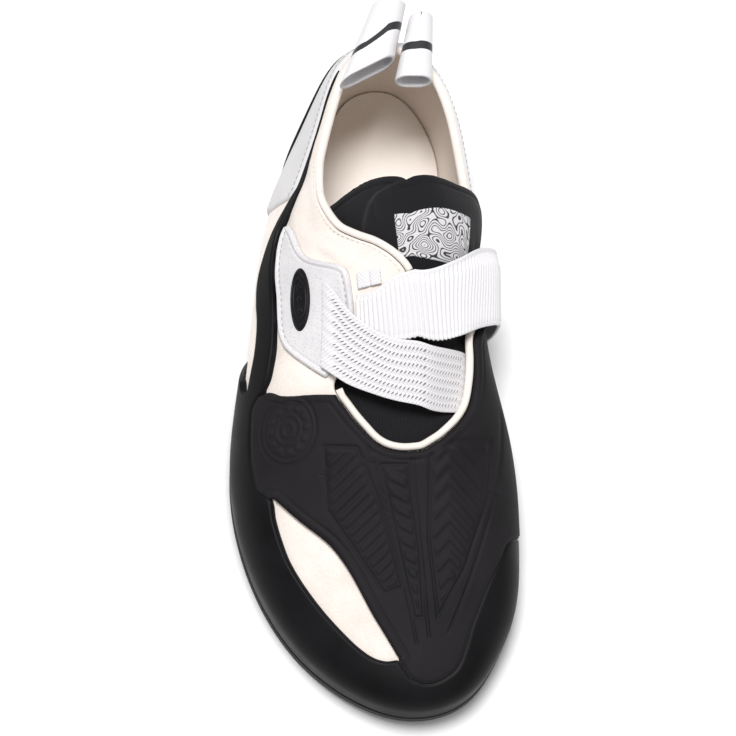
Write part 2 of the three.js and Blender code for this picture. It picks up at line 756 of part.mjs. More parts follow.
// The tongue's top is flatter than the instep, so its medial corner stands off
const CORNER_LIFT = 3.4;
function tongueFace(t, g) {
  const corner = CORNER_LIFT * smooth(g, 0.15, 0.42) * (1 - smooth(t, 0.37, 0.43));
  const free = lerp(-UNDER_FLAP, TONGUE_PROUD, smooth(g, -0.25, 0.1)) + corner;
  return lerp(free, -TONGUE_SINK, smooth(t, 0.4, 0.5));
}
function tonguePlace(s, w) {
  const t = lerp(fromTable(TONGUE_TOP, 't', w), TONGUE_TIP, s);
  const lateral = fromTable(TONGUE_EDGES, 'lateral', t);
  const medial = fromTable(TONGUE_EDGES, 'medial', t);
  return [t, lerp(lateral, medial, w)];
}
const tongueShape = () => strip({
  along: evenly(0, 1, 15),
  across: evenly(0, 1, 10),
  place: tonguePlace,
  under: (s, w) => tongueFace(...tonguePlace(s, w)) - TONGUE_WALL,
  thickness: TONGUE_WALL,
});

// The woven label on the tongue
const LABEL = { top: 0.406, bottom: 0.455, lateral: -0.055, medial: 0.285, skew: 0.008 };
function labelPlace(s, w) {
  const g = lerp(LABEL.lateral, LABEL.medial, w);
  return [lerp(LABEL.top, LABEL.bottom, s) - LABEL.skew * w, g];
}
const labelShape = () => strip({
  along: evenly(0, 1, 3),
  across: evenly(0, 1, 6),
  place: labelPlace,
  under: (s, w) => tongueFace(...labelPlace(s, w)) + FIT_GAP,
  thickness: LABEL_THICKNESS,
});

// A strap by its two edges: rows give both edges' [t, g] and the height of
// the underside above the last
const STRAP_COLUMNS = ['along', 'topT', 'topG', 'bottomT', 'bottomG', 'under'];
const ON_TAB = 2 * FIT_GAP + TAB_THICKNESS;
const TUCKED = -STRAP_THICKNESS - UPPER_WALL - FIT_GAP;
const WOVEN = tableOf(STRAP_COLUMNS, [
  [0.00, 0.460, -0.352, 0.542, -0.372, ON_TAB],
  [0.09, 0.470, -0.312, 0.553, -0.322, ON_TAB + 1.3],
  [0.18, 0.491, -0.265, 0.565, -0.270, ON_TAB + 1.2],
  [0.34, 0.514, -0.185, 0.580, -0.175, ON_TAB + 1.6],
  [0.50, 0.532, -0.080, 0.592, -0.085, ON_TAB + 2.2],
  [0.64, 0.537, 0.030, 0.601, 0.020, ON_TAB + 0.9],
  [0.76, 0.532, 0.150, 0.598, 0.105, -1.0],
  [0.88, 0.528, 0.265, 0.592, 0.185, -3.0],
  [0.95, 0.527, 0.335, 0.588, 0.240, TUCKED],
  [1.00, 0.527, 0.410, 0.584, 0.300, TUCKED],
]);
const RIBBED = tableOf(STRAP_COLUMNS, [
  [0.00, 0.482, -0.226, 0.515, -0.232, LAYER_GAP],
  [0.10, 0.482, -0.150, 0.527, -0.150, 1.7],
  [0.20, 0.472, -0.075, 0.534, -0.075, 2.1],
  [0.34, 0.464, 0.040, 0.531, 0.055, 2.4],
  [0.50, 0.445, 0.180, 0.518, 0.195, 2.6],
  [0.64, 0.423, 0.325, 0.502, 0.345, 3.4],
  [0.76, 0.411, 0.450, 0.492, 0.475, 6.4],
  [0.86, 0.406, 0.560, 0.493, 0.590, 5.8],
  [0.94, 0.406, 0.660, 0.495, 0.690, 3.9],
  [1.00, 0.408, 0.740, 0.495, 0.760, 3 * LAYER_GAP + PATCH_THICKNESS],
]);
function strapShape(table, steps) {
  const read = (name, s) => fromTable(table, name, s);
  return strip({
    along: evenly(0, 1, steps),
    across: evenly(0, 1, 3),
    place: (s, w) => [
      lerp(read('topT', s), read('bottomT', s), w),
      lerp(read('topG', s), read('bottomG', s), w),
    ],
    under: (s) => read('under', s),
    thickness: STRAP_THICKNESS,
  });
}

// The keeper sewn over the ribbed strap's medial end
const KEEPER = { top: 0.398, bottom: 0.503, upper: 0.690, lower: 0.775 };
const keeperShape = () => strip({
  along: evenly(0, 1, 4),
  across: evenly(0, 1, 3),
  place: (s, w) => [
    lerp(KEEPER.top, KEEPER.bottom, s),
    lerp(KEEPER.upper, KEEPER.lower, w),
  ],
  under: (s, w) => 4 * LAYER_GAP + PATCH_THICKNESS + STRAP_THICKNESS + 0.8 * (1 - w),
  thickness: PANEL_THICKNESS,
});

// The two folded tabs that hold the ribbed strap's lateral end to the flap
const ANCHOR = { top: 0.461, bottom: 0.477, lateral: -0.218, medial: -0.125 };
const anchorShape = () => strip({
  along: evenly(0, 1, 2),
  across: evenly(0, 1, 3),
  place: (s, w) => [
    lerp(ANCHOR.top, ANCHOR.bottom, s),
    lerp(ANCHOR.lateral, ANCHOR.medial, w),
  ],
  under: () => FIT_GAP,
  thickness: TAB_THICKNESS,
});

// A round binding on the opening's edge between two loop positions. out and
// rise are the half-width along the surface and the half-height across it.
const BINDING_SIDES = 6;
function bindingShape(at, out, rise, sink) {
  const spot = (u) => lastPoint(u, openingEdge(u));
  const frames = at.map((u, i) => {
    const before = spot(at[Math.max(i - 1, 0)]);
    const after = spot(at[Math.min(i + 1, at.length - 1)]);
    const run = unit(add(after, before, -1));
    const normal = lastNormal(u, openingEdge(u));
    const inwards = unit(cross(normal, run));
    return { centre: spot(u), normal: unit(cross(run, inwards)), inwards };
  });
  const ringOf = ({ centre, normal, inwards }) => evenly(0, 2 * Math.PI, BINDING_SIDES)
    .slice(0, -1)
    .map((angle) => add(
      add(centre, inwards, FIT_GAP + out * (1 + Math.cos(angle))),
      normal,
      rise * Math.sin(angle) - sink,
    ));
  const rings = frames.map(ringOf);
  const triangles = [];
  for (let i = 0; i < rings.length - 1; i += 1) {
    for (let j = 0; j < BINDING_SIDES; j += 1) {
      const next = (j + 1) % BINDING_SIDES;
      const quad = [rings[i][j], rings[i + 1][j], rings[i + 1][next], rings[i][next]];
      triangles.push([quad[0], quad[1], quad[2]], [quad[0], quad[2], quad[3]]);
    }
  }
  for (let j = 1; j < BINDING_SIDES - 1; j += 1) {
    const end = rings[rings.length - 1];
    triangles.push([rings[0][0], rings[0][j], rings[0][j + 1]]);
    triangles.push([end[0], end[j + 1], end[j]]);
  }
  return solidFrom(triangles);
}
const collarBindingShape = () => bindingShape(
  stations([[-0.40], [-0.30, 4], [0.30, 18], [0.345, 3]]),
  BINDING_WIDTH / 2,
  UPPER_WALL / 2 + 0.7,
  UPPER_WALL / 2 - 0.1,
);
const flapBindingShape = () => bindingShape(
  stations([[0.372], [0.425, 6], [0.468, 6]]),
  BINDING_WIDTH / 2 - 0.2,
  BINDING_HEIGHT - 0.2,
  0.2,
);
const throatBindingShape = () => bindingShape(
  [
    ...stations([[0.567], [0.624, 6], [0.6425, 5]]),
    ...stations([[2 - 0.6425], [2 - 0.624, 3], [2 - 0.505, 12]]),
  ],
  BINDING_WIDTH / 2 - 0.2,
  BINDING_HEIGHT - 0.2,
  0.2,
);

// The two webbing loops at the back of the collar: flattened tubes whose mouths
// face the toe. Each is given in plan by the ends of its mouth and of its back,
// [x, along] from left to right, and rests a little above the collar's rim.
const LOOP_RISE = 1.3;
const LOOPS = {
  lateral: {
    mouth: [[-16.6, 37.1], [3.6, 25.7]],
    back: [[-4.0, 4.6], [8.2, 4.4]],
    height: 10.5,
    rest: 2.6,
  },
  medial: {
    mouth: [[3.4, 34.0], [16.9, 34.0]],
    back: [[9.4, 8.4], [18.0, 8.4]],
    height: 9.5,
    rest: 1.5,
  },
};
const rimHeight = () => lastPoint(0, openingEdge(0))[2];
function loopPoint(loop, angle, k, inset) {
  const left = mix(loop.mouth[0], loop.back[0], k);
  const right = mix(loop.mouth[1], loop.back[1], k);
  const half = mix(right, left, 0.5).map((value, i) => right[i] - value);
  const width = 2 * size(half);
  const radius = loop.height / 2;
  const straight = width / 2 - radius;
  const across = Math.sign(Math.cos(angle)) * straight + (radius - inset) * Math.cos(angle);
  const share = across / (width / 2);
  const spot = mix(left, right, 0.5).map((value, i) => value + share * half[i]);
  const up = (radius - inset) * Math.sin(angle) + radius + LOOP_RISE * (k - 0.5);
  return [spot[0], toY(spot[1]), rimHeight() + loop.rest + up];
}
function pullLoopShape(loop) {
  const angles = evenly(-Math.PI / 2, Math.PI / 2, 5);
  const round = [...angles, ...angles.map((angle) => angle + Math.PI)];
  const skin = (inset) => [...round, round[0]]
    .map((angle) => evenly(0, 1, 4).map((k) => loopPoint(loop, angle, k, inset)));
  return wallSolid(skin(0), skin(LOOP_WALL), () => false, true);
}

// Finishes
const finish = (color, roughness) => new THREE.MeshStandardMaterial({
  color,
  roughness,
  metalness: 0,
});
const soleRubber = finish('#17161a', 0.7);
const patchRubber = finish('#29272a', 0.75);
const creamFabric = finish('#efe6df', 0.85);
const greySynthetic = finish('#dcdada', 0.6);
const stripWebbing = finish('#e6e4e5', 0.8);
const blackTextile = finish('#1b1a1e', 0.9);
const beigeLining = finish('#d9cbbf', 0.85);
const labelCloth = finish('#d9d7da', 0.7);

const shoe = new THREE.Group();
function place(name, geometry, material) {
  const mesh = new THREE.Mesh(geometry, material);
  mesh.name = name;
  shoe.add(mesh);
  return mesh;
}

place('outsole', outsoleShape(), soleRubber);
place('insole', insoleShape(), beigeLining);
place('upper', upperShape(), creamFabric);
place('tongue', tongueShape(), blackTextile);
place('tongue_label', labelShape(), labelCloth);
place('toe_rand', randShape(), soleRubber);
place('slingshot_band', bandShape(), soleRubber);
place('toe_patch', patchShape(), patchRubber);
place('heel_cap', heelCapShape(), soleRubber);
place('heel_panel', heelPanelShape(), greySynthetic);
place('strap_tab', tabShape(), greySynthetic);
place('strap_anchor', anchorShape(), stripWebbing);
place('strap_ribbed', strapShape(RIBBED, 18), stripWebbing);
place('strap_woven', strapShape(WOVEN, 16), stripWebbing);
place('strap_keeper', keeperShape(), greySynthetic);
place('collar_binding', collarBindingShape(), creamFabric);
place('flap_binding', flapBindingShape(), creamFabric);
place('throat_binding', throatBindingShape(), creamFabric);
for (const [side, loop] of Object.entries(LOOPS)) {
  place(`pull_loop_${side}`, pullLoopShape(loop), stripWebbing);
}

export default shoe;
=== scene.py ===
"""Dresses a packed climbing shoe for the right foot: rubber, microfibre, webbing, stitches and a studio."""

import math

import bmesh
import bpy
import numpy as np
from mathutils import Matrix, Vector
from mathutils.kdtree import KDTree


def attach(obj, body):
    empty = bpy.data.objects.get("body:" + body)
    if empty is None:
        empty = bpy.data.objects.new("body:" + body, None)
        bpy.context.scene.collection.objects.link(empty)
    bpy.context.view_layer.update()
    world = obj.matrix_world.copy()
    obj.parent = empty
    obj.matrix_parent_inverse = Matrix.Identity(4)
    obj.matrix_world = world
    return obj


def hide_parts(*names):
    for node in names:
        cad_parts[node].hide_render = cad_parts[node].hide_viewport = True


bl_info = {
    "name": "Climbing Shoe Dresser",
    "version": (1, 0, 0),
    "blender": (4, 5, 0),
    "location": "View3D > Sidebar > Climbing Shoe",
    "description": "Builds the surfaces, stitches and materials of a climbing shoe around its packed solids",
    "category": "Object",
}

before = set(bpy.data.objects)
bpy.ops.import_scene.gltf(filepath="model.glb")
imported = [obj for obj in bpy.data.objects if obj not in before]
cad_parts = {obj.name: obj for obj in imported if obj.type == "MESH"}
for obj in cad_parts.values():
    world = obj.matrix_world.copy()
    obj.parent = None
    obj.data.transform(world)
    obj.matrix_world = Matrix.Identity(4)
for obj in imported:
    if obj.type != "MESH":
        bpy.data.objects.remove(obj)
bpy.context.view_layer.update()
BODY = "root"
MM = 0.001

# Driving dimensions, in millimetres, as the solids have them
SHOE_LENGTH = 252
BALL_WIDTH = 102
TOE_HEIGHT = 27
ANKLE_HEIGHT = 97
SOLE_THICKNESS = 4.2
ARCH_RISE = 7
HEEL_RISE = 2.5
TOE_SPRING = 3.5
HEEL_INSET = 4.3
TOE_INSET = 2.9
HEEL_FLAT = (0.06, 0.21)
FOREFOOT_FLAT = (0.68, 0.88)
BALL_REST = 0.76 * SHOE_LENGTH
FEATHER_LENGTH = SHOE_LENGTH - HEEL_INSET - TOE_INSET

UPPER_WALL = 1.8
TONGUE_WALL = 2.6
INSOLE_THICKNESS = 2.2
RAND_THICKNESS = 1.8
PATCH_THICKNESS = 2.2
HEEL_CAP_THICKNESS = 1.8
PANEL_THICKNESS = 0.9
TAB_THICKNESS = 1.2
STRAP_THICKNESS = 1.3
LABEL_THICKNESS = 0.6
BINDING_WIDTH = 2.6
LOOP_WALL = 1.2
FIT_GAP = 0.3
LAYER_GAP = 0.6
SOLE_MARGIN = 2.8
WAIST_MARGIN = 1.4
SOLE_CHAMFER = 1.1
INSOLE_MARGIN = UPPER_WALL + 0.1

# Every overlay starts this far inside the upper's face, so that no gap shows
SEAT = -0.25


def table(columns, rows):
    """A named table: its first column is the place, the others are read at it."""
    return {name: np.array([row[i] for row in rows], float) for i, name in enumerate(columns)}


def read(source, name, at):
    """A smooth line through one column of a table, level beyond its ends."""
    place = next(iter(source.values()))
    value = source[name]
    before = np.maximum(np.arange(len(place)) - 1, 0)
    after = np.minimum(np.arange(len(place)) + 1, len(place) - 1)
    slope = (value[after] - value[before]) / (place[after] - place[before])
    at = np.clip(np.asarray(at, float), place[0], place[-1])
    i = np.clip(np.searchsorted(place, at, side="right") - 1, 0, len(place) - 2)
    span = place[i + 1] - place[i]
    k = (at - place[i]) / span
    h = 3 * k**2 - 2 * k**3
    bend = span * slope[i] * (k - 2 * k**2 + k**3) + span * slope[i + 1] * (k**3 - k**2)
    return value[i] * (1 - h) + value[i + 1] * h + bend


# The last in thirteen sections from heel to toe: feather line and bulges as shares of BALL_WIDTH,
# heights of the bulges as shares of ANKLE_HEIGHT, crest as shares of length, rise and width
SECTIONS = table(
    ("section", "lateral", "medial", "crest_at", "crest_up", "crest_side", "bulge_lateral",
     "bulge_medial", "rise_lateral", "rise_medial", "full_lateral", "full_medial"),
    [
        (0, 0.015, 0.015, 0.170, 0.930, 0.010, 0.021, 0.021, 0.247, 0.247, 0.25, 0.25),
        (1, -0.106, 0.131, 0.182, 0.960, 0.010, 0.019, 0.017, 0.247, 0.247, 0.25, 0.28),
        (2, -0.186, 0.212, 0.212, 1.000, 0.015, 0.018, 0.010, 0.247, 0.247, 0.28, 0.38),
        (3, -0.260, 0.255, 0.256, 1.000, 0.020, 0.029, 0.021, 0.247, 0.258, 0.16, 0.45),
        (4, -0.292, 0.219, 0.314, 0.930, 0.038, 0.093, 0.088, 0.247, 0.309, 0.13, 0.48),
        (5, -0.363, 0.154, 0.385, 0.785, 0.058, 0.086, 0.165, 0.237, 0.371, 0.13, 0.55),
        (6, -0.457, 0.163, 0.480, 0.607, 0.080, 0.024, 0.162, 0.186, 0.309, 0.28, 0.52),
        (7, -0.514, 0.308, 0.585, 0.414, 0.093, 0.006, 0.098, 0.134, 0.206, 0.50, 0.52),
        (8, -0.484, 0.405, 0.690, 0.264, 0.095, 0.006, 0.023, 0.113, 0.144, 0.55, 0.55),
        (9, -0.388, 0.404, 0.775, 0.157, 0.110, 0.006, 0.008, 0.103, 0.113, 0.55, 0.55),
        (10, -0.245, 0.327, 0.845, 0.079, 0.113, 0.006, 0.006, 0.093, 0.098, 0.55, 0.55),
        (11, -0.078, 0.224, 0.893, 0.021, 0.105, 0.006, 0.006, 0.088, 0.093, 0.55, 0.55),
        (12, 0.078, 0.078, 0.915, 0.000, 0.098, 0.006, 0.006, 0.088, 0.088, 0.55, 0.55),
    ],
)
LAST_ROW = len(SECTIONS["section"]) - 1


def unit(vectors):
    return vectors / np.linalg.norm(vectors, axis=-1, keepdims=True)


def smooth(x, low, high):
    k = np.clip((np.asarray(x, float) - low) / (high - low), 0, 1)
    return k * k * (3 - 2 * k)


def loop_of(lateral, medial):
    """A closed spline through one side's column up to the toe and the other's back to the heel."""
    values = np.concatenate([SECTIONS[lateral], SECTIONS[medial][-2:0:-1]])
    n = len(values)
    bends = 4 * np.eye(n) + np.roll(np.eye(n), 1, 0) + np.roll(np.eye(n), -1, 0)
    second = np.roll(values, -1) - 2 * values + np.roll(values, 1)
    bend = np.linalg.solve(bends, 6 * second)

    def at(u):
        position = (np.asarray(u, float) * LAST_ROW) % n
        i = np.floor(position).astype(int) % n
        j = (i + 1) % n
        k = position - np.floor(position)
        m = 1 - k
        return m * values[i] + k * values[j] + ((m**3 - m) * bend[i] + (k**3 - k) * bend[j]) / 6

    return at


feather_share = loop_of("lateral", "medial")
crest_at_share = loop_of("crest_at", "crest_at")
crest_up_share = loop_of("crest_up", "crest_up")
crest_side_share = loop_of("crest_side", "crest_side")
bulge_share = loop_of("bulge_lateral", "bulge_medial")
rise_share = loop_of("rise_lateral", "rise_medial")
full_share = loop_of("full_lateral", "full_medial")


def clearance(share):
    """Height of the sole's underside above the floor."""
    heel = HEEL_RISE * smooth(HEEL_FLAT[0] - share, 0, HEEL_FLAT[0])
    toe = TOE_SPRING * smooth(share, FOREFOOT_FLAT[1], 1.02)
    span = np.clip((share - HEEL_FLAT[1]) / (FOREFOOT_FLAT[0] - HEEL_FLAT[1]), 0, 1)
    return heel + ARCH_RISE * np.sin(np.pi * span) ** 2 + toe


def section_of(u):
    turn = np.mod(u, 2)
    return np.where(turn <= 1, turn, 2 - turn)


def is_medial(u):
    return np.mod(u, 2) > 1


def points_of(x, y, z):
    return np.stack(np.broadcast_arrays(x, y, z), axis=-1).astype(float)


def feather(u):
    along = HEEL_INSET + FEATHER_LENGTH * (1 - np.cos(np.pi * np.asarray(u))) / 2
    up = clearance(along / SHOE_LENGTH) + SOLE_THICKNESS + FIT_GAP
    return points_of(feather_share(u) * BALL_WIDTH, BALL_REST - along, up)


def crest(u):
    up = TOE_HEIGHT + crest_up_share(u) * (ANKLE_HEIGHT - TOE_HEIGHT)
    return points_of(crest_side_share(u) * BALL_WIDTH, BALL_REST - crest_at_share(u) * SHOE_LENGTH, up)


def feather_out(u):
    """The level direction that leaves the feather line."""
    run = feather(np.asarray(u) + 0.004) - feather(np.asarray(u) - 0.004)
    return unit(points_of(run[..., 1], -run[..., 0], 0 * run[..., 0]))


def crest_run(u):
    t = section_of(u)
    run = crest(np.minimum(t + 0.02, 1)) - crest(np.maximum(t - 0.02, 0))
    return run / run[..., 1:2]


def bezier(p, k):
    m = 1 - k
    weights = (m**3, 3 * m * m * k, 3 * m * k * k, k**3)
    return sum(weight[None, :, None] * point[:, None, :] for weight, point in zip(weights, p))


# The last's surface as a fine grid: COLUMNS round the loop by ROWS from feather line to crest, with
# a few rows more on both sides, those past the crest taken from the other side
COLUMNS = 1440
ROWS = 150
PAD = 6


def last_columns():
    """Columns of the last's surface, each sampled evenly by its own girth."""
    u = np.arange(COLUMNS) * 2 / COLUMNS
    foot = feather(u)
    top = crest(u)
    out = feather_out(u)
    up = np.array([0, 0, 1.0])
    bulge = (bulge_share(u) * BALL_WIDTH)[:, None]
    rise = (rise_share(u) * ANKLE_HEIGHT)[:, None]
    side = foot + out * bulge + up * rise
    away = points_of(foot[:, 0] - top[:, 0], 0 * u, 0 * u)
    across = unit(away + crest_run(u) * (foot[:, 1] - top[:, 1])[:, None])
    full = full_share(u)[:, None]
    reach = np.hypot(side[:, 0] - top[:, 0], side[:, 1] - top[:, 1])[:, None]
    steps = np.linspace(0, 1, 60)
    lower = bezier((foot, foot + out * bulge * 0.55 + up * rise * 0.25, side - up * rise * 0.55, side), steps)
    rising = side + up * full * (top[:, 2:] - side[:, 2:])
    upper = bezier((side, rising, top + across * reach * (0.25 + 0.55 * full), top), steps)
    line = np.concatenate([lower, upper[:, 1:]], axis=1)
    girth = np.cumsum(np.linalg.norm(np.diff(line, axis=1), axis=2), axis=1)
    girth = np.concatenate([np.zeros((COLUMNS, 1)), girth], axis=1)
    total = girth[:, -1]
    share = np.linspace(0, 1, ROWS + 1)
    grid = np.empty((COLUMNS, ROWS + 1, 3))
    for i in range(COLUMNS):
        for axis in range(3):
            grid[i, :, axis] = np.interp(share * total[i], girth[i], line[i, :, axis])
    return grid, total


def padded_grid(grid):
    mirror = (-np.arange(COLUMNS)) % COLUMNS
    beyond = grid[mirror][:, ROWS - 1:ROWS - 1 - PAD:-1]
    step = grid[:, :1] - grid[:, 1:2]
    below = grid[:, :1] + step * np.arange(PAD, 0, -1)[None, :, None]
    return np.concatenate([below, grid, beyond], axis=1)


LAST_COLUMNS, GIRTH = last_columns()
LAST_POINTS = padded_grid(LAST_COLUMNS)


def grid_normals(grid):
    along = np.roll(grid, -1, 0) - np.roll(grid, 1, 0)
    across = np.gradient(grid, axis=1)
    normal = np.cross(along, across)
    length = np.linalg.norm(normal, axis=-1)
    pole = length < 0.001 * np.median(length)
    normal[pole] = np.roll(normal, 1, axis=1)[pole]
    return unit(normal)


LAST_NORMALS = grid_normals(LAST_POINTS)


def cubic_weights(k):
    return (
        -k / 2 + k**2 - k**3 / 2,
        1 - 2.5 * k**2 + 1.5 * k**3,
        k / 2 + 2 * k**2 - 1.5 * k**3,
        -(k**2) / 2 + k**3 / 2,
    )


def read_grid(grid, u, v):
    """A smooth reading of a padded grid at loop positions u and girth shares v."""
    u, v = np.broadcast_arrays(np.asarray(u, float), np.asarray(v, float))
    a = np.mod(u, 2) * COLUMNS / 2
    b = np.clip(v * ROWS + PAD, 1, ROWS + 2 * PAD - 2)
    i = np.floor(a).astype(int)
    j = np.floor(b).astype(int)
    total = np.zeros(u.shape + (3,))
    for p, along in enumerate(cubic_weights(a - i)):
        for q, across in enumerate(cubic_weights(b - j)):
            rows = np.clip(j + q - 1, 0, ROWS + 2 * PAD)
            total += (along * across)[..., None] * grid[(i + p - 1) % COLUMNS, rows]
    return total


def last_point(u, v):
    return read_grid(LAST_POINTS, u, v)


def last_normal(u, v):
    """The way off the surface, turned level next to the sole."""
    normal = unit(read_grid(LAST_NORMALS, u, v))
    normal[..., 2] *= smooth(v, 0, 0.1)
    return unit(normal)


def on_last(u, v, height):
    return last_point(u, v) + last_normal(u, v) * np.asarray(height)[..., None]


def girth_at(u):
    return np.interp(np.mod(u, 2), np.arange(COLUMNS + 1) * 2 / COLUMNS, np.append(GIRTH, GIRTH[0]))


def chart(t, g):
    """Loop position and girth share of a place named by section t and crest share g, -1 to +1."""
    t, g = np.broadcast_arrays(np.asarray(t, float), np.asarray(g, float))
    return np.where(g <= 0, t, 2 - t), np.where(g <= 0, 1 + g, 1 - g)


def over_crest(t, g, height):
    u, v = chart(t, g)
    return on_last(u, v, height)


def spread(marks):
    """Even steps between places: a first place, then (place, count) pairs."""
    parts = [np.array([marks[0]], float)]
    start = marks[0]
    for end, count in marks[1:]:
        parts.append(np.linspace(start, end, count + 1)[1:])
        start = end
    return np.concatenate(parts)


# Edges of the pieces, as the solids have them
OPENING = table(("at", "lateral", "medial"), [
    (0.000, 0.600, 0.600), (0.030, 0.596, 0.596), (0.083, 0.576, 0.573), (0.167, 0.540, 0.519),
    (0.250, 0.525, 0.494), (0.300, 0.542, 0.498), (0.335, 0.578, 0.502), (0.365, 0.607, 0.505),
    (0.385, 0.643, 0.508), (0.410, 0.708, 0.512), (0.425, 0.785, 0.515), (0.437, 0.860, 0.518),
    (0.455, 0.932, 0.520), (0.474, 0.968, 0.522), (0.488, 0.925, 0.560), (0.505, 0.850, 0.632),
    (0.515, 0.815, 0.653), (0.530, 0.762, 0.655), (0.545, 0.705, 0.667), (0.560, 0.668, 0.687),
    (0.573, 0.680, 0.707), (0.583, 0.704, 0.728), (0.598, 0.740, 0.775), (0.611, 0.775, 0.826),
    (0.624, 0.812, 0.880), (0.633, 0.850, 0.926), (0.639, 0.890, 0.956), (0.6435, 0.940, 0.982),
    (0.646, 1.000, 1.000),
])
THROAT_END = 0.646
RAND_TOP = table(("at", "lateral", "medial"), [
    (0.480, 0.030, 0.030), (0.500, 0.120, 0.030), (0.520, 0.215, 0.030), (0.535, 0.258, 0.030),
    (0.539, 0.350, 0.030), (0.544, 0.368, 0.030), (0.549, 0.350, 0.030), (0.556, 0.325, 0.030),
    (0.565, 0.320, 0.030), (0.635, 0.325, 0.030), (0.650, 0.368, 0.030),
    (0.670, 0.362, 0.200), (0.690, 0.360, 0.400), (0.720, 0.362, 0.475), (0.765, 0.390, 0.545),
    (0.820, 0.436, 0.572), (0.860, 0.470, 0.548), (0.885, 0.505, 0.525), (0.905, 0.560, 0.514),
    (0.925, 0.645, 0.525), (0.955, 0.640, 0.545), (0.980, 0.612, 0.570), (1.000, 0.598, 0.598),
])
RAND_ENDS = (0.480, 2 - 0.656)
RAND_REACH = 0.655
PATCH_LEAF = table(("at", "edge"), [
    (0.650, 0.388), (0.680, 0.465), (0.715, 0.556), (0.745, 0.598), (0.780, 0.624), (0.820, 0.642),
    (0.870, 0.662), (0.925, 0.668),
])
PATCH_TAIL = table(("at", "low", "high"), [
    (0.455, 0.395, 0.412), (0.480, 0.250, 0.495), (0.500, 0.125, 0.592), (0.513, 0.045, 0.640),
    (0.520, 0.000, 0.650),
])
PATCH_BACK = table(("at", "edge"), [
    (0.549, 0.410), (0.556, 0.458), (0.562, 0.541), (0.567, 0.619), (0.573, 0.700),
])
PATCH_ENDS = (0.549, 2 - 0.455)
TAIL_ROOT = 0.520
LEAF_ENDS = (0.650, 0.925)
# The band's heel end, up to about section 0.34, is only a thin black strip of painted shade along the seam
# between the collar and the heel panel
BAND = table(("at", "low", "high"), [
    (0.150, 0.493, 0.498), (0.200, 0.487, 0.497), (0.250, 0.488, 0.498), (0.300, 0.488, 0.498),
    (0.325, 0.484, 0.497), (0.340, 0.473, 0.490), (0.349, 0.455, 0.479), (0.360, 0.437, 0.466),
    (0.370, 0.417, 0.452), (0.380, 0.395, 0.436), (0.390, 0.373, 0.418), (0.400, 0.356, 0.408),
    (0.410, 0.341, 0.402), (0.435, 0.306, 0.394), (0.457, 0.300, 0.402), (0.476, 0.306, 0.404),
    (0.502, 0.298, 0.404), (0.519, 0.285, 0.398), (0.534, 0.273, 0.388), (0.544, 0.266, 0.364),
])
BAND_ENDS = (0.150, 0.544)
BAND_JOIN = (0.5356, 0.544)
HEEL_CAP = table(("at", "lateral", "medial"), [
    (0.000, 0.300, 0.300), (0.100, 0.292, 0.290), (0.200, 0.272, 0.268), (0.250, 0.255, 0.225),
    (0.280, 0.220, 0.150), (0.300, 0.155, 0.060), (0.320, 0.050, 0.030),
])
CAP_ENDS = (-0.305, 0.322)
PANEL_TOP = table(("at", "lateral", "medial"), [
    (0.000, 0.520, 0.520), (0.100, 0.495, 0.490), (0.200, 0.478, 0.458), (0.300, 0.482, 0.448),
    (0.340, 0.470, 0.448), (0.349, 0.445, 0.448), (0.430, 0.445, 0.438), (0.452, 0.445, 0.360),
    (0.480, 0.445, 0.220), (0.500, 0.445, 0.100), (0.508, 0.445, 0.055),
])
PANEL_LOW = table(("at", "lateral", "medial"), [
    (0.325, 0.000, 0.000), (0.337, 0.120, 0.000), (0.349, 0.280, 0.000), (0.508, 0.280, 0.000),
])
PANEL_ENDS = (-0.508, 0.349)
TAB = table(("at", "low", "high"), [
    (0.386, 0.442, 0.462), (0.395, 0.424, 0.487), (0.410, 0.410, 0.514), (0.422, 0.405, 0.540),
    (0.431, 0.402, 0.575), (0.438, 0.402, 0.627), (0.445, 0.404, 0.688), (0.452, 0.407, 0.730),
    (0.460, 0.410, 0.745), (0.480, 0.413, 0.754), (0.494, 0.421, 0.757), (0.505, 0.440, 0.755),
    (0.512, 0.458, 0.752), (0.524, 0.506, 0.738), (0.536, 0.560, 0.706), (0.546, 0.606, 0.668),
    (0.552, 0.635, 0.645),
])
TONGUE_EDGES = table(("at", "lateral", "medial"), [
    (0.340, -0.385, 0.450), (0.400, -0.430, 0.450), (0.440, -0.400, 0.450), (0.465, -0.360, 0.455),
    (0.485, -0.340, 0.520), (0.550, -0.370, 0.480), (0.600, -0.310, 0.320), (0.640, -0.180, 0.185),
    (0.700, -0.110, 0.110),
])
TONGUE_TOP = table(("across", "t"), [
    (0.00, 0.381), (0.05, 0.373), (0.15, 0.363), (0.26, 0.357), (0.43, 0.358), (0.60, 0.364),
    (0.77, 0.364), (0.88, 0.361), (0.95, 0.362), (1.00, 0.370),
])
TONGUE_TIP = 0.700
TONGUE_SINK = UPPER_WALL + STRAP_THICKNESS + 3 * FIT_GAP
TONGUE_PROUD = 0.6
UNDER_FLAP = UPPER_WALL + 2 * FIT_GAP
CORNER_LIFT = 3.4
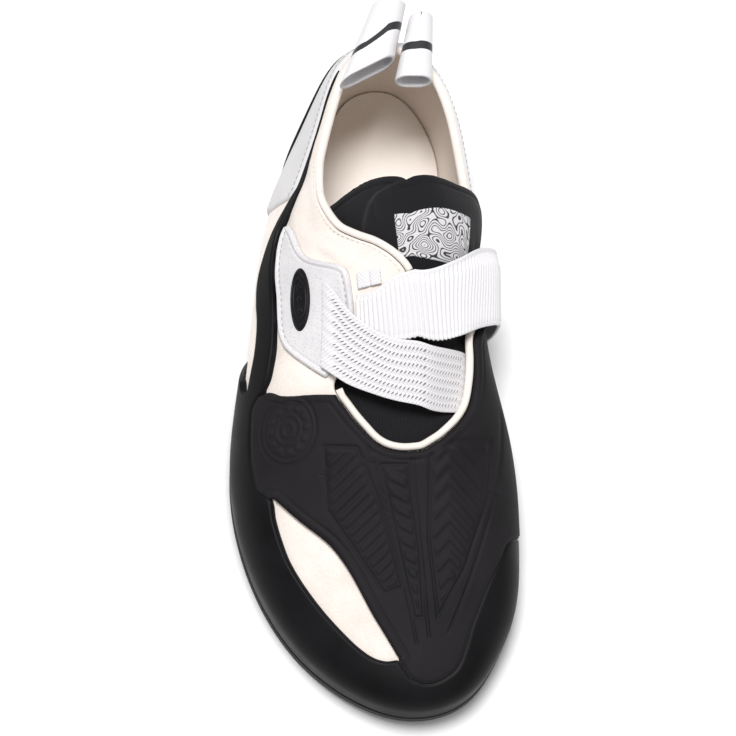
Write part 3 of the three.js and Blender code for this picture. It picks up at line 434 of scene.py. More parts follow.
# Straight pieces: both ends as sections, both sides as crest shares, and the ends' skew
LABEL = (0.406, 0.455, -0.055, 0.285, 0.008)
KEEPER = (0.398, 0.503, 0.690, 0.775, 0)
ANCHOR = (0.461, 0.477, -0.218, -0.125, 0)
STRAP_COLUMNS = ("along", "top_t", "top_g", "bottom_t", "bottom_g", "under")
ON_TAB = 2 * FIT_GAP + TAB_THICKNESS
TUCKED = -STRAP_THICKNESS - UPPER_WALL - FIT_GAP
WOVEN = table(STRAP_COLUMNS, [
    (0.00, 0.460, -0.352, 0.542, -0.372, ON_TAB),
    (0.09, 0.470, -0.312, 0.553, -0.322, ON_TAB + 1.3),
    (0.18, 0.491, -0.265, 0.565, -0.270, ON_TAB + 1.2),
    (0.34, 0.514, -0.185, 0.580, -0.175, ON_TAB + 1.6),
    (0.50, 0.532, -0.080, 0.592, -0.085, ON_TAB + 2.2),
    (0.64, 0.537, 0.030, 0.601, 0.020, ON_TAB + 0.9),
    (0.76, 0.532, 0.150, 0.598, 0.105, -1.0),
    (0.88, 0.528, 0.265, 0.592, 0.185, -3.0),
    (0.95, 0.527, 0.335, 0.588, 0.240, TUCKED),
    (1.00, 0.527, 0.410, 0.584, 0.300, TUCKED),
])
RIBBED = table(STRAP_COLUMNS, [
    (0.00, 0.482, -0.226, 0.515, -0.232, LAYER_GAP),
    (0.10, 0.482, -0.150, 0.527, -0.150, 1.7),
    (0.20, 0.472, -0.075, 0.534, -0.075, 2.1),
    (0.34, 0.464, 0.040, 0.531, 0.055, 2.4),
    (0.50, 0.445, 0.180, 0.518, 0.195, 2.6),
    (0.64, 0.423, 0.325, 0.502, 0.345, 3.4),
    (0.76, 0.411, 0.450, 0.492, 0.475, 6.4),
    (0.86, 0.406, 0.560, 0.493, 0.590, 5.8),
    (0.94, 0.406, 0.660, 0.495, 0.690, 3.9),
    (1.00, 0.408, 0.740, 0.495, 0.760, 3 * LAYER_GAP + PATCH_THICKNESS),
])
# The ends of each loop's mouth and back in plan, x and along, its height and its rest above the
# collar's rim; every loop rises towards its back and its tape sags a little between its sides
LOOPS = {
    "lateral": {"mouth": ((-16.6, 37.1), (3.6, 25.7)), "back": ((-4.0, 4.6), (8.2, 4.4)),
                "height": 10.5, "rest": 2.6},
    "medial": {"mouth": ((3.4, 34.0), (16.9, 34.0)), "back": ((9.4, 8.4), (18.0, 8.4)),
               "height": 9.5, "rest": 1.5},
}
LOOP_RISE = 1.3
LOOP_SLACK = 0.35


def side_line(source, u):
    """A two-sided table read at loop positions."""
    t = section_of(u)
    return np.where(is_medial(u), read(source, "medial", t), read(source, "lateral", t))


def opening_edge(u):
    t = section_of(u)
    return np.where(t >= THROAT_END, 1, np.minimum(side_line(OPENING, u), 1))


def patch_low(u):
    t = section_of(u)
    over_rand = side_line(RAND_TOP, u) + FIT_GAP / girth_at(u)
    leaf = (t > LEAF_ENDS[0]) & (t < LEAF_ENDS[1])
    lateral = np.where(leaf, np.maximum(read(PATCH_LEAF, "edge", t), over_rand), over_rand)
    tail = np.where(t < RAND_REACH, 0, over_rand)
    medial = np.where(t < TAIL_ROOT, read(PATCH_TAIL, "low", t), tail)
    return np.where(is_medial(u), medial, lateral)


def patch_high(u):
    t = section_of(u)
    on_tail = is_medial(u) & (t < TAIL_ROOT)
    back = np.where(is_medial(u) | (t > PATCH_BACK["at"][-1]), 1, read(PATCH_BACK, "edge", t))
    return np.where(on_tail, read(PATCH_TAIL, "high", t), np.minimum(opening_edge(u), back))


def cap_top(u):
    return side_line(HEEL_CAP, u)


def panel_low(u):
    wrapped = np.where(np.mod(u, 2) > 1, np.mod(u, 2) - 2, np.mod(u, 2))
    capped = (wrapped >= CAP_ENDS[0]) & (wrapped <= CAP_ENDS[1])
    over_cap = np.where(capped, cap_top(u) + FIT_GAP / girth_at(u), 0)
    return np.maximum(over_cap, side_line(PANEL_LOW, u))


# Colours are sRGB hex values, read off the object's plain-lit places
def linear(hex_colour):
    """Linear RGBA of an sRGB hex colour."""
    channels = [int(hex_colour[i:i + 2], 16) / 255 for i in (1, 3, 5)]
    return tuple(c / 12.92 if c <= 0.04045 else ((c + 0.055) / 1.055) ** 2.4 for c in channels) + (1.0,)


def per_metre(size_mm):
    """The texture scale on Object coordinates that gives a feature of this size."""
    return 1 / (size_mm * MM)


def add(tree, kind, inputs=None, **settings):
    """Adds one node with its settings; an input is a value or another node's output."""
    made = tree.nodes.new(kind)
    for name, value in settings.items():
        setattr(made, name, value)
    for socket, value in (inputs or {}).items():
        if isinstance(value, bpy.types.NodeSocket):
            tree.links.new(value, made.inputs[socket])
        else:
            made.inputs[socket].default_value = value
    return made


def begin_material(name):
    material = bpy.data.materials.new(name)
    material.use_nodes = True
    material.node_tree.nodes.clear()
    return material, material.node_tree


def finish_material(tree, colour, roughness, height, relief, look):
    """Ends a material: a bump from a height, with its strength and its depth in millimetres, and a
    surface whose look is set on the shader's own sockets."""
    strength, depth = relief
    bump = add(tree, "ShaderNodeBump", {"Height": height, "Strength": strength, "Distance": depth * MM})
    shader = add(tree, "ShaderNodeBsdfPrincipled", {
        "Base Color": colour, "Roughness": roughness, "Normal": bump.outputs["Normal"], **look,
    })
    add(tree, "ShaderNodeOutputMaterial", {"Surface": shader.outputs["BSDF"]})


# The two colour inputs and the colour output of a mix node
COLOUR_A, COLOUR_B, MIXED = 6, 7, 2


def ramp_between(tree, factor, low, high, colours):
    """Two colours mixed by a factor that is stretched between two values."""
    share = add(tree, "ShaderNodeMapRange", {"Value": factor, "From Min": low, "From Max": high})
    return add(tree, "ShaderNodeMix", {
        "Factor": share.outputs["Result"], COLOUR_A: linear(colours[0]), COLOUR_B: linear(colours[1]),
    }, data_type="RGBA").outputs[MIXED]


def moulded_rubber(name, colours, roughness, grain_mm):
    """Moulded climbing rubber: nearly black, a soft broad shine, a fine ground-off grain."""
    material, tree = begin_material(name)
    place = add(tree, "ShaderNodeTexCoord").outputs["Object"]
    cloud = add(tree, "ShaderNodeTexNoise", {"Vector": place, "Scale": per_metre(18), "Detail": 4.0})
    grain = add(tree, "ShaderNodeTexNoise", {"Vector": place, "Scale": per_metre(grain_mm), "Detail": 3.0})
    colour = ramp_between(tree, cloud.outputs["Fac"], 0.35, 0.7, colours)
    rough = add(tree, "ShaderNodeMapRange", {
        "Value": cloud.outputs["Fac"], "From Min": 0.3, "From Max": 0.7,
        "To Min": roughness - 0.06, "To Max": roughness + 0.08,
    })
    finish_material(tree, colour, rough.outputs["Result"], grain.outputs["Fac"], (0.25, 0.12), {
        "IOR": 1.52, "Specular IOR Level": 0.12,
    })
    return material


# The emblem printed under the ball: its middle, and each ring's outer and inner radius
PRINT_CENTRE = (-13, BALL_REST - 168, 0)
PRINT_RINGS = ((15, 13.2), (10.5, 9.6), (5, 0))
PRINT_HEIGHT = 0.6


def sole_rubber_with_print(name, colours, print_colour):
    """The outsole: the same rubber with plain silver rings printed under the ball."""
    material, tree = begin_material(name)
    place = add(tree, "ShaderNodeTexCoord").outputs["Object"]
    cloud = add(tree, "ShaderNodeTexNoise", {"Vector": place, "Scale": per_metre(22), "Detail": 4.0})
    grain = add(tree, "ShaderNodeTexNoise", {"Vector": place, "Scale": per_metre(0.6), "Detail": 3.0})
    rubber = ramp_between(tree, cloud.outputs["Fac"], 0.35, 0.7, colours)
    centred = add(tree, "ShaderNodeMapping", {
        "Vector": place, "Location": tuple(-c * MM for c in PRINT_CENTRE),
    })
    parts = add(tree, "ShaderNodeSeparateXYZ", {"Vector": centred.outputs["Vector"]})
    flat = add(tree, "ShaderNodeCombineXYZ", {"X": parts.outputs["X"], "Y": parts.outputs["Y"]})
    radius = add(tree, "ShaderNodeVectorMath", {0: flat.outputs["Vector"]}, operation="LENGTH")
    mask = 0.0
    for outer, inner in PRINT_RINGS:
        ring = add(tree, "ShaderNodeMath", {
            0: radius.outputs["Value"], 1: (outer + inner) / 2 * MM, 2: (outer - inner) / 2 * MM,
        }, operation="COMPARE")
        mask = add(tree, "ShaderNodeMath", {0: mask, 1: ring.outputs[0]}, operation="MAXIMUM").outputs[0]
    below = add(tree, "ShaderNodeMath", {
        0: parts.outputs["Z"], 1: PRINT_HEIGHT * MM,
    }, operation="LESS_THAN")
    printed = add(tree, "ShaderNodeMath", {0: mask, 1: below.outputs[0]}, operation="MULTIPLY")
    colour = add(tree, "ShaderNodeMix", {
        "Factor": printed.outputs[0], COLOUR_A: rubber, COLOUR_B: linear(print_colour),
    }, data_type="RGBA")
    finish_material(tree, colour.outputs[MIXED], 0.58, grain.outputs["Fac"], (0.3, 0.15), {
        "IOR": 1.52, "Specular IOR Level": 0.4,
    })
    return material


def brushed_microfibre(name, colours, nap_mm, sheen=0.35, bump_mm=0.1):
    """Suede-like microfibre: matt, soft-edged light, a short nap that shades it in small clouds."""
    material, tree = begin_material(name)
    place = add(tree, "ShaderNodeTexCoord").outputs["Object"]
    cloud = add(tree, "ShaderNodeTexNoise", {"Vector": place, "Scale": per_metre(9), "Detail": 5.0})
    nap = add(tree, "ShaderNodeTexNoise", {"Vector": place, "Scale": per_metre(nap_mm), "Detail": 4.0})
    both = add(tree, "ShaderNodeMath", {0: cloud.outputs["Fac"], 1: nap.outputs["Fac"]}, operation="ADD")
    colour = ramp_between(tree, both.outputs[0], 0.75, 1.25, colours)
    finish_material(tree, colour, 0.92, nap.outputs["Fac"], (0.45, bump_mm), {
        "IOR": 1.45, "Specular IOR Level": 0.25, "Sheen Weight": sheen, "Sheen Roughness": 0.6,
    })
    return material


def woven_cloth(name, colours, thread_mm, depth_mm, roughness=0.88, sheen=0.2, stripe=None):
    """Plain-woven thread on the piece's own UV map, in millimetres; a stripe lies between two lengths."""
    material, tree = begin_material(name)
    uv = add(tree, "ShaderNodeUVMap", uv_map="UVMap").outputs["UV"]
    parts = add(tree, "ShaderNodeSeparateXYZ", {"Vector": uv})
    waves = []
    for axis in ("X", "Y"):
        turn = add(tree, "ShaderNodeMath", {
            0: parts.outputs[axis], 1: math.pi / thread_mm,
        }, operation="MULTIPLY")
        waves.append(add(tree, "ShaderNodeMath", {0: turn.outputs[0]}, operation="SINE").outputs[0])
    crossing = add(tree, "ShaderNodeMath", {0: waves[0], 1: waves[1]}, operation="MULTIPLY")
    height = add(tree, "ShaderNodeMapRange", {
        "Value": crossing.outputs[0], "From Min": -1.0, "From Max": 1.0,
    })
    place = add(tree, "ShaderNodeTexCoord").outputs["Object"]
    fuzz = add(tree, "ShaderNodeTexNoise", {"Vector": place, "Scale": per_metre(0.8), "Detail": 3.0})
    uneven = add(tree, "ShaderNodeMath", {
        0: fuzz.outputs["Fac"], 1: 0.5, 2: height.outputs["Result"],
    }, operation="MULTIPLY_ADD")
    colour = ramp_between(tree, uneven.outputs[0], 0.2, 1.1, colours)
    if stripe:
        start, end, dark = stripe
        within = add(tree, "ShaderNodeMath", {
            0: parts.outputs["Y"], 1: (start + end) / 2, 2: (end - start) / 2,
        }, operation="COMPARE")
        colour = add(tree, "ShaderNodeMix", {
            "Factor": within.outputs[0], COLOUR_A: colour, COLOUR_B: linear(dark),
        }, data_type="RGBA").outputs[MIXED]
    finish_material(tree, colour, roughness, uneven.outputs[0], (0.7, depth_mm), {
        "IOR": 1.5, "Specular IOR Level": 0.3, "Sheen Weight": sheen, "Sheen Roughness": 0.5,
    })
    return material


def coated_synthetic(name, colours, roughness, grain_mm, speck=None):
    """Coated synthetic leather: a fine pebbled skin with a low satin light and, on the tab, specks."""
    material, tree = begin_material(name)
    place = add(tree, "ShaderNodeTexCoord").outputs["Object"]
    cloud = add(tree, "ShaderNodeTexNoise", {"Vector": place, "Scale": per_metre(14), "Detail": 4.0})
    pebble = add(tree, "ShaderNodeTexVoronoi", {"Vector": place, "Scale": per_metre(grain_mm)})
    colour = ramp_between(tree, cloud.outputs["Fac"], 0.35, 0.7, colours)
    if speck:
        fine = add(tree, "ShaderNodeTexNoise", {"Vector": place, "Scale": per_metre(0.45), "Detail": 2.0})
        chance = add(tree, "ShaderNodeMapRange", {
            "Value": fine.outputs["Fac"], "From Min": 0.56, "From Max": 0.66, "To Max": 0.55,
        })
        colour = add(tree, "ShaderNodeMix", {
            "Factor": chance.outputs["Result"], COLOUR_A: colour, COLOUR_B: linear(speck),
        }, data_type="RGBA").outputs[MIXED]
    finish_material(tree, colour, roughness, pebble.outputs["Distance"], (0.35, 0.1), {
        "IOR": 1.5, "Specular IOR Level": 0.35, "Sheen Weight": 0.08,
    })
    return material


def woven_label(name, ground, line):
    """A woven label with a plain pattern of thin contour lines."""
    material, tree = begin_material(name)
    uv = add(tree, "ShaderNodeUVMap", uv_map="UVMap").outputs["UV"]
    hills = add(tree, "ShaderNodeTexNoise", {"Vector": uv, "Scale": 0.16, "Detail": 0.0})
    steps = add(tree, "ShaderNodeMath", {0: hills.outputs["Fac"], 1: 13.0}, operation="MULTIPLY")
    part = add(tree, "ShaderNodeMath", {0: steps.outputs[0]}, operation="FRACT")
    middle = add(tree, "ShaderNodeMath", {0: part.outputs[0], 1: 0.5}, operation="SUBTRACT")
    away = add(tree, "ShaderNodeMath", {0: middle.outputs[0]}, operation="ABSOLUTE")
    colour = ramp_between(tree, away.outputs[0], 0.13, 0.2, (line, ground))
    parts = add(tree, "ShaderNodeSeparateXYZ", {"Vector": uv})
    turn = add(tree, "ShaderNodeMath", {0: parts.outputs["Y"], 1: 2 * math.pi / 0.5}, operation="MULTIPLY")
    thread = add(tree, "ShaderNodeMath", {0: turn.outputs[0]}, operation="SINE")
    finish_material(tree, colour, 0.8, thread.outputs[0], (0.3, 0.08), {
        "IOR": 1.5, "Specular IOR Level": 0.3,
    })
    return material


def painted_floor(name, colour):
    """A pale matt studio floor."""
    material, tree = begin_material(name)
    shader = add(tree, "ShaderNodeBsdfPrincipled", {
        "Base Color": linear(colour), "Roughness": 0.95, "Specular IOR Level": 0.1,
    })
    add(tree, "ShaderNodeOutputMaterial", {"Surface": shader.outputs["BSDF"]})
    return material


MATERIALS = {}


def make_materials(colours):
    """Every finish of the shoe, by its plain name."""
    MATERIALS.update({
        "sole_rubber": sole_rubber_with_print("moulded_sole_rubber", (colours.rubber, "#1d1c1f"), "#a9a8aa"),
        "rand_rubber": moulded_rubber("buffed_rand_rubber", (colours.rubber, "#131215"), 0.5, 0.7),
        "patch_rubber": moulded_rubber("moulded_patch_rubber", (colours.patch, "#232123"), 0.66, 0.45),
        "microfibre": brushed_microfibre("brushed_microfibre", (colours.upper, "#e6dbd2"), 0.7),
        "piping": brushed_microfibre("folded_microfibre_piping", (colours.upper, "#e9dfd6"), 0.6, 0.3, 0.06),
        "lining": woven_cloth("brushed_lining_cloth", ("#e3d5c8", colours.lining), 0.5, 0.05),
        "insole": woven_cloth("insole_cloth", ("#f2e8df", "#fbf3ec"), 0.55, 0.04),
        "synthetic": coated_synthetic("coated_synthetic_leather", ("#dddbdc", "#d3d1d3"), 0.62, 0.9),
        "tab": coated_synthetic("speckled_coated_tab", (colours.tab, "#d2d0d2"), 0.66, 0.7, "#a5a3a8"),
        "webbing": woven_cloth("woven_polyester_webbing", ("#cbc9cc", colours.webbing), 0.7, 0.1, 0.75, 0.25),
        "ribbed": woven_cloth("ribbed_polyester_webbing", ("#d3d1d4", colours.webbing), 0.35, 0.02, 0.7, 0.2),
        "loop_webbing": woven_cloth("smooth_polyester_tape", ("#d6d4d7", "#e9e7ea"), 0.5, 0.05, 0.6, 0.2,
                                    (11.0, 14.2, "#29282b")),
        "knit": woven_cloth("black_tongue_knit", ("#08070a", "#19181c"), 0.55, 0.12, 0.9, 0.06),
        "badge": moulded_rubber("moulded_badge_rubber", ("#111013", "#1a191c"), 0.45, 0.8),
        "label": woven_label("woven_label_cloth", "#d6d4d7", "#39373b"),
        "dark_thread": woven_cloth("black_polyester_thread", ("#232226", "#38363b"), 0.3, 0.05, 0.7, 0.1),
        "slate_thread": woven_cloth("slate_polyester_thread", ("#4c4a4f", "#6b696e"), 0.3, 0.05, 0.7, 0.1),
        "grey_thread": woven_cloth("grey_polyester_thread", ("#8d8b90", "#a6a4a9"), 0.3, 0.05, 0.7, 0.1),
        "pale_thread": woven_cloth("pale_polyester_thread", ("#cfc6bf", "#e3dbd4"), 0.3, 0.05, 0.7, 0.1),
        "floor": painted_floor("matt_white_floor", "#f4f4f4"),
    })


# Mesh helpers
def triangles_volume(points, faces):
    a, b, c = (points[faces[:, k]] for k in (0, 1, 2))
    volume = np.einsum("ij,ij->i", a, np.cross(b, c)).sum()
    if faces.shape[1] == 4:
        d = points[faces[:, 3]]
        volume += np.einsum("ij,ij->i", a, np.cross(c, d)).sum()
    return volume


def linked(name, data):
    """A new object of the scene with the given data."""
    made = bpy.data.objects.new(name, data)
    bpy.context.scene.collection.objects.link(made)
    return made


# Points nearer than this are merged, and faces smaller than this many square metres are dropped
MERGE_DISTANCE = 0.002 * MM
FLAT_AREA = 1e-14


def make_object(name, points, faces, materials, slots=None, uv=None):
    """A mesh object in metres from millimetre points and quads, with its faces outwards."""
    if triangles_volume(points, faces) < 0:
        faces = faces[:, ::-1]
    mesh = bpy.data.meshes.new(name)
    mesh.from_pydata((points * MM).tolist(), [], faces.tolist())
    for key in materials:
        mesh.materials.append(MATERIALS[key])
    if slots is not None:
        mesh.polygons.foreach_set("material_index", slots)
    if uv is not None:
        layer = mesh.uv_layers.new(name="UVMap")
        corner = np.zeros(len(mesh.loops), int)
        mesh.loops.foreach_get("vertex_index", corner)
        layer.data.foreach_set("uv", uv[corner].ravel())
    mesh.polygons.foreach_set("use_smooth", np.ones(len(mesh.polygons), bool))
    tidy = bmesh.new()
    tidy.from_mesh(mesh)
    bmesh.ops.remove_doubles(tidy, verts=tidy.verts, dist=MERGE_DISTANCE)
    flat = [face for face in tidy.faces if face.calc_area() < FLAT_AREA]
    bmesh.ops.delete(tidy, geom=flat, context="FACES_ONLY")
    tidy.to_mesh(mesh)
    tidy.free()
    return linked(name, mesh)


def arc_uv(points):
    """Lengths in millimetres along the middle line and across every row of a grid."""
    middle = points[:, points.shape[1] // 2]
    along = np.append(0, np.cumsum(np.linalg.norm(np.diff(middle, axis=0), axis=1)))
    steps = np.linalg.norm(np.diff(points, axis=1), axis=2)
    across = np.concatenate([np.zeros((len(points), 1)), np.cumsum(steps, axis=1)], axis=1)
    return np.stack([np.broadcast_to(along[:, None], across.shape), across], axis=-1)


def quads(grid):
    """Faces between the neighbours of a grid of point numbers."""
    corners = (grid[:-1, :-1], grid[1:, :-1], grid[1:, 1:], grid[:-1, 1:])
    return np.stack([corner.ravel() for corner in corners], axis=1)


def bridge(first, second):
    """Faces between two lines of point numbers."""
    return np.stack([first[:-1], first[1:], second[1:], second[:-1]], axis=1)


def shell(name, outer, inner, materials, ring=False, joined=None):
    """A closed wall between two skins of points. Its far rim stays open where joined says that it
    meets its other half. The inner skin takes the second material if there is one."""
    rows, cols = outer.shape[:2]
    index = np.arange(rows * cols).reshape(rows, cols)
    below = index + rows * cols
    if ring:
        index = np.vstack([index, index[:1]])
        below = np.vstack([below, below[:1]])
        joined = None if joined is None else np.append(joined, joined[0])
    skin = quads(index)
    lining = quads(below)[:, [0, 3, 2, 1]]
    far = bridge(index[:, -1], below[:, -1])
    if joined is not None:
        far = far[~(joined[:-1] & joined[1:])]
    rims = [bridge(below[:, 0], index[:, 0]), far]
    if not ring:
        rims += [bridge(index[0], below[0]), bridge(below[-1], index[-1])]
    faces = np.concatenate([skin] + rims + [lining])
    slots = np.zeros(len(faces), int)
    if len(materials) > 1:
        slots[-len(lining):] = 1
    points = np.concatenate([outer.reshape(-1, 3), inner.reshape(-1, 3)])
    uv = np.concatenate([arc_uv(outer).reshape(-1, 2), arc_uv(inner).reshape(-1, 2)])
    return make_object(name, points, faces, materials, slots, uv)


def dress(piece, *nodes, slot):
    """Rides a finished piece on the shoe and lets it stand for its solids."""
    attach(piece, BODY)
    if nodes:
        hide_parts(*nodes)


def distance_to(lines, points):
    """How far each point lies from the nearest of some lines, in millimetres."""
    samples = np.concatenate(lines)
    tree = KDTree(len(samples))
    for i, sample in enumerate(samples):
        tree.insert(sample, i)
    tree.balance()
    flat = points.reshape(-1, 3)
    found = np.array([tree.find(point)[2] for point in flat])
    return found.reshape(points.shape[:2])


def fine_line(points, spacing=0.25):
    """A line resampled at close even steps."""
    length = np.append(0, np.cumsum(np.linalg.norm(np.diff(points, axis=0), axis=1)))
    at = np.linspace(0, length[-1], max(int(length[-1] / spacing), 2) + 1)
    return np.stack([np.interp(at, length, points[:, axis]) for axis in range(3)], axis=1)


def rounded(distance, radius):
    """A quarter-round shoulder: 0 at an edge, 1 from the radius on."""
    k = np.clip(distance / radius, 0, 1)
    return np.sqrt(1 - (1 - k) ** 2)


SEAM_DEPTH = 0.45
SEAM_WIDTH = 1.3


def groove(away, width):
    """A pressed line: 1 in its middle, 0 outside its width."""
    return np.exp(-((away / (width / 2)) ** 4))


def edge_rows(count, fine=(0.0, 0.004, 0.012, 0.026, 0.045)):
    """Shares from 0 to 1, close together at both edges."""
    middle = np.linspace(fine[-1], 1 - fine[-1], count)[1:-1]
    return np.concatenate([fine, middle, 1 - np.array(fine[::-1])])


def layer(name, u, low, high, rows, thickness, materials, shoulder, foot, relief=None,
          rounded_rims=("low", "high", "ends"), rims=None, seams=None):
    """A piece that follows the last between two edges, with rounded shoulders and its own relief.
    Its rims are its own edges, or the given lines; along a seam it is only pressed in a little."""
    start, end = low(u), high(u)
    share = edge_rows(rows)
    v = start[:, None] + (end - start)[:, None] * share[None, :]
    place = np.broadcast_to(u[:, None], v.shape)
    face = last_point(place, v)
    joined = end > 0.99999
    if rims:
        rounded_rims = ()
    rims = list(rims or [])
    if "low" in rounded_rims:
        rims.append(fine_line(face[:, 0]))
    if "high" in rounded_rims and not joined.all():
        stretches = np.split(np.arange(len(u)), np.where(np.diff(joined.astype(int)) != 0)[0] + 1)
        rims += [fine_line(face[run, -1]) for run in stretches if not joined[run[0]] and len(run) > 1]
    if "ends" in rounded_rims:
        rims += [fine_line(face[0]), fine_line(face[-1])]
    away = distance_to(rims, face)
    height = SEAT + (thickness - SEAT) * (foot + (1 - foot) * rounded(away, shoulder))
    if relief:
        height = height + relief(place, face, away)
    if seams:
        height = height - SEAM_DEPTH * groove(distance_to(seams, face), SEAM_WIDTH)
    outer = on_last(place, v, height)
    inner = on_last(place, v, np.full(v.shape, SEAT))
    return shell(name, outer, inner, materials, joined=joined if joined.any() else None)


def eased(points, passes):
    """A grid of points smoothed along its first axis, its ends kept."""
    for _ in range(passes):
        points[1:-1] = (points[:-2] + 2 * points[1:-1] + points[2:]) / 4
    return points


def strip(name, s, w, place, under, thickness, materials, relief=None, edge=0.5, ease=0):
    """A strip laid over the last from its own chart, both faces rounded off towards its edges."""
    along, across = np.meshgrid(s, w, indexing="ij")
    t, g = place(along, across)
    foot = under(along, across)
    face = over_crest(t, g, foot)
    rims = [fine_line(face[:, 0]), fine_line(face[:, -1]), fine_line(face[0]), fine_line(face[-1])]
    away = distance_to(rims, face)
    round_off = (1 - rounded(away, edge)) * thickness * 0.4
    top = foot + thickness - round_off
    if relief:
        top = top + relief(along, across, away)
    outer = eased(over_crest(t, g, top), ease)
    inner = eased(over_crest(t, g, foot + round_off), ease)
    return shell(name, outer, inner, materials)


# Creases on the upper and the tongue: both ends as section and crest share, how far
# a trough reaches to each side and how deep it is, in millimetres
UPPER_CREASES = (
    (0.425, -0.40, 0.462, -0.24, 1.5, 0.6),
    (0.415, -0.36, 0.452, -0.20, 1.4, 0.45),
    (0.438, -0.30, 0.470, -0.16, 1.2, 0.4),
    (0.30, -0.50, 0.40, -0.42, 3.0, 0.5),
    (0.36, -0.62, 0.42, -0.45, 2.5, 0.4),
    (0.40, -0.36, 0.45, -0.18, 2.2, 0.5),
    (0.47, -0.72, 0.53, -0.55, 3.0, 0.4),
    (0.30, 0.52, 0.42, 0.56, 3.0, 0.5),
    (0.35, 0.66, 0.44, 0.62, 4.0, 0.5),
    (0.70, -0.58, 0.78, -0.50, 2.5, 0.35),
    (0.78, -0.52, 0.86, -0.44, 2.5, 0.3),
    (0.12, -0.47, 0.25, -0.56, 3.0, 0.3),
)
TONGUE_CREASES = (
    (0.37, -0.16, 0.47, -0.10, 1.6, 1.1),
    (0.38, -0.30, 0.46, -0.24, 2.4, 0.5),
    (0.40, 0.34, 0.44, 0.40, 2.0, 0.5),
    (0.545, -0.20, 0.60, -0.02, 1.4, 0.9),
    (0.60, -0.16, 0.635, 0.10, 1.6, 0.5),
)


def crease_depth(face, creases):
    """The sum of soft troughs at each point of a face."""
    depth = np.zeros(face.shape[:-1])
    for t0, g0, t1, g1, reach, deep in creases:
        k = np.linspace(0, 1, 24)
        line = over_crest(t0 + (t1 - t0) * k, g0 + (g1 - g0) * k, 0 * k)
        away = distance_to([line], face)
        ends = np.minimum(
            np.linalg.norm(face - line[0], axis=-1), np.linalg.norm(face - line[-1], axis=-1)
        )
        depth += deep * np.exp(-((away / reach) ** 2)) * (0.35 + 0.65 * smooth(ends, 0, 3 * reach))
    return depth


# Sole and insole
def sole_edge(u):
    t = section_of(u)
    waist = smooth(t, 0.26, 0.33) * (1 - smooth(t, 0.45, 0.52))
    return SOLE_MARGIN + (WAIST_MARGIN - SOLE_MARGIN) * waist


def plate(name, steps, margin, rings, materials):
    """A plate under the foot, from the middle of its underside round its edge to its top."""
    u = np.arange(steps) * 2 / steps
    lines = []
    for share, back, lift in rings:
        edge = feather(u) + feather_out(u) * (margin(u) - back)[:, None]
        facing = feather(2 - u) + feather_out(2 - u) * (margin(2 - u) - back)[:, None]
        middle = (edge + facing) / 2
        spot = middle + (edge - middle) * share
        spot[:, 2] = feather(u)[:, 2] - FIT_GAP - SOLE_THICKNESS + lift
        lines.append(spot)
    points = np.stack(lines, axis=1)
    index = np.arange(points.shape[0] * points.shape[1]).reshape(points.shape[:2])
    flat = points.reshape(-1, 3)
    faces = quads(np.vstack([index, index[:1]]))
    return make_object(name, flat, faces, materials, uv=flat[:, :2].copy())


INWARD = (0.0, 0.2, 0.4, 0.6, 0.75, 0.86, 0.94, 0.98)
SOLE_RINGS = 480


# The line pressed round the outsole's wall: its height as a share, its half width and its depth
WALL_LINE_AT = 0.62
WALL_LINE_HALF = 0.35
WALL_LINE_DEPTH = 0.22


def build_outsole():
    chamfer = [
        (1, SOLE_CHAMFER * (1 - math.sin(a)), SOLE_CHAMFER * (1 - math.cos(a)))
        for a in np.linspace(0, math.pi / 2, 7)
    ]
    line = SOLE_THICKNESS * WALL_LINE_AT
    wall = [
        (1, 0, line - WALL_LINE_HALF), (1, WALL_LINE_DEPTH, line), (1, 0, line + WALL_LINE_HALF),
        (1, 0, SOLE_THICKNESS - 0.5), (1, 0.15, SOLE_THICKNESS - 0.15),
        (1, SOLE_CHAMFER / 2, SOLE_THICKNESS),
    ]
    under = [(share, SOLE_CHAMFER, 0) for share in INWARD]
    over = [(share, SOLE_CHAMFER / 2, SOLE_THICKNESS) for share in INWARD[::-1]]
    piece = plate("outsole_rubber", SOLE_RINGS, sole_edge, under + chamfer + wall + over, ["sole_rubber"])
    dress(piece, "outsole", slot="sole_rubber")


def build_insole():
    base = SOLE_THICKNESS + FIT_GAP
    top = base + INSOLE_THICKNESS
    under = [(share, 0.4, base) for share in INWARD]
    edge = [(1, 0.4, base), (1, 0, base + 0.4), (1, 0, top - 0.5), (1, 0.15, top - 0.15), (1, 0.5, top)]
    over = [(share, 0.5, top - 0.25 * (1 - share)) for share in INWARD[::-1]]
    piece = plate(
        "insole_sock", SOLE_RINGS, lambda u: np.full(np.shape(u), -INSOLE_MARGIN), under + edge + over,
        ["insole"],
    )
    dress(piece, "insole", slot="beige_lining")


# Upper and its bindings
def upper_stations():
    side = spread([0.0, (0.26, 70), (0.37, 40), (0.48, 66), (0.56, 30), (0.66, 42), (0.93, 70), (1.0, 30)])
    return np.concatenate([side, (2 - side[1:-1])[::-1]])


# The collar's padding: how far it bulges, its distance from the edge and its reach, in millimetres,
# and the sections between which it ends
PADDING_RISE = 0.5
PADDING_INSET = 3.5
PADDING_REACH = 2.4
PADDING_END = (0.33, 0.38)


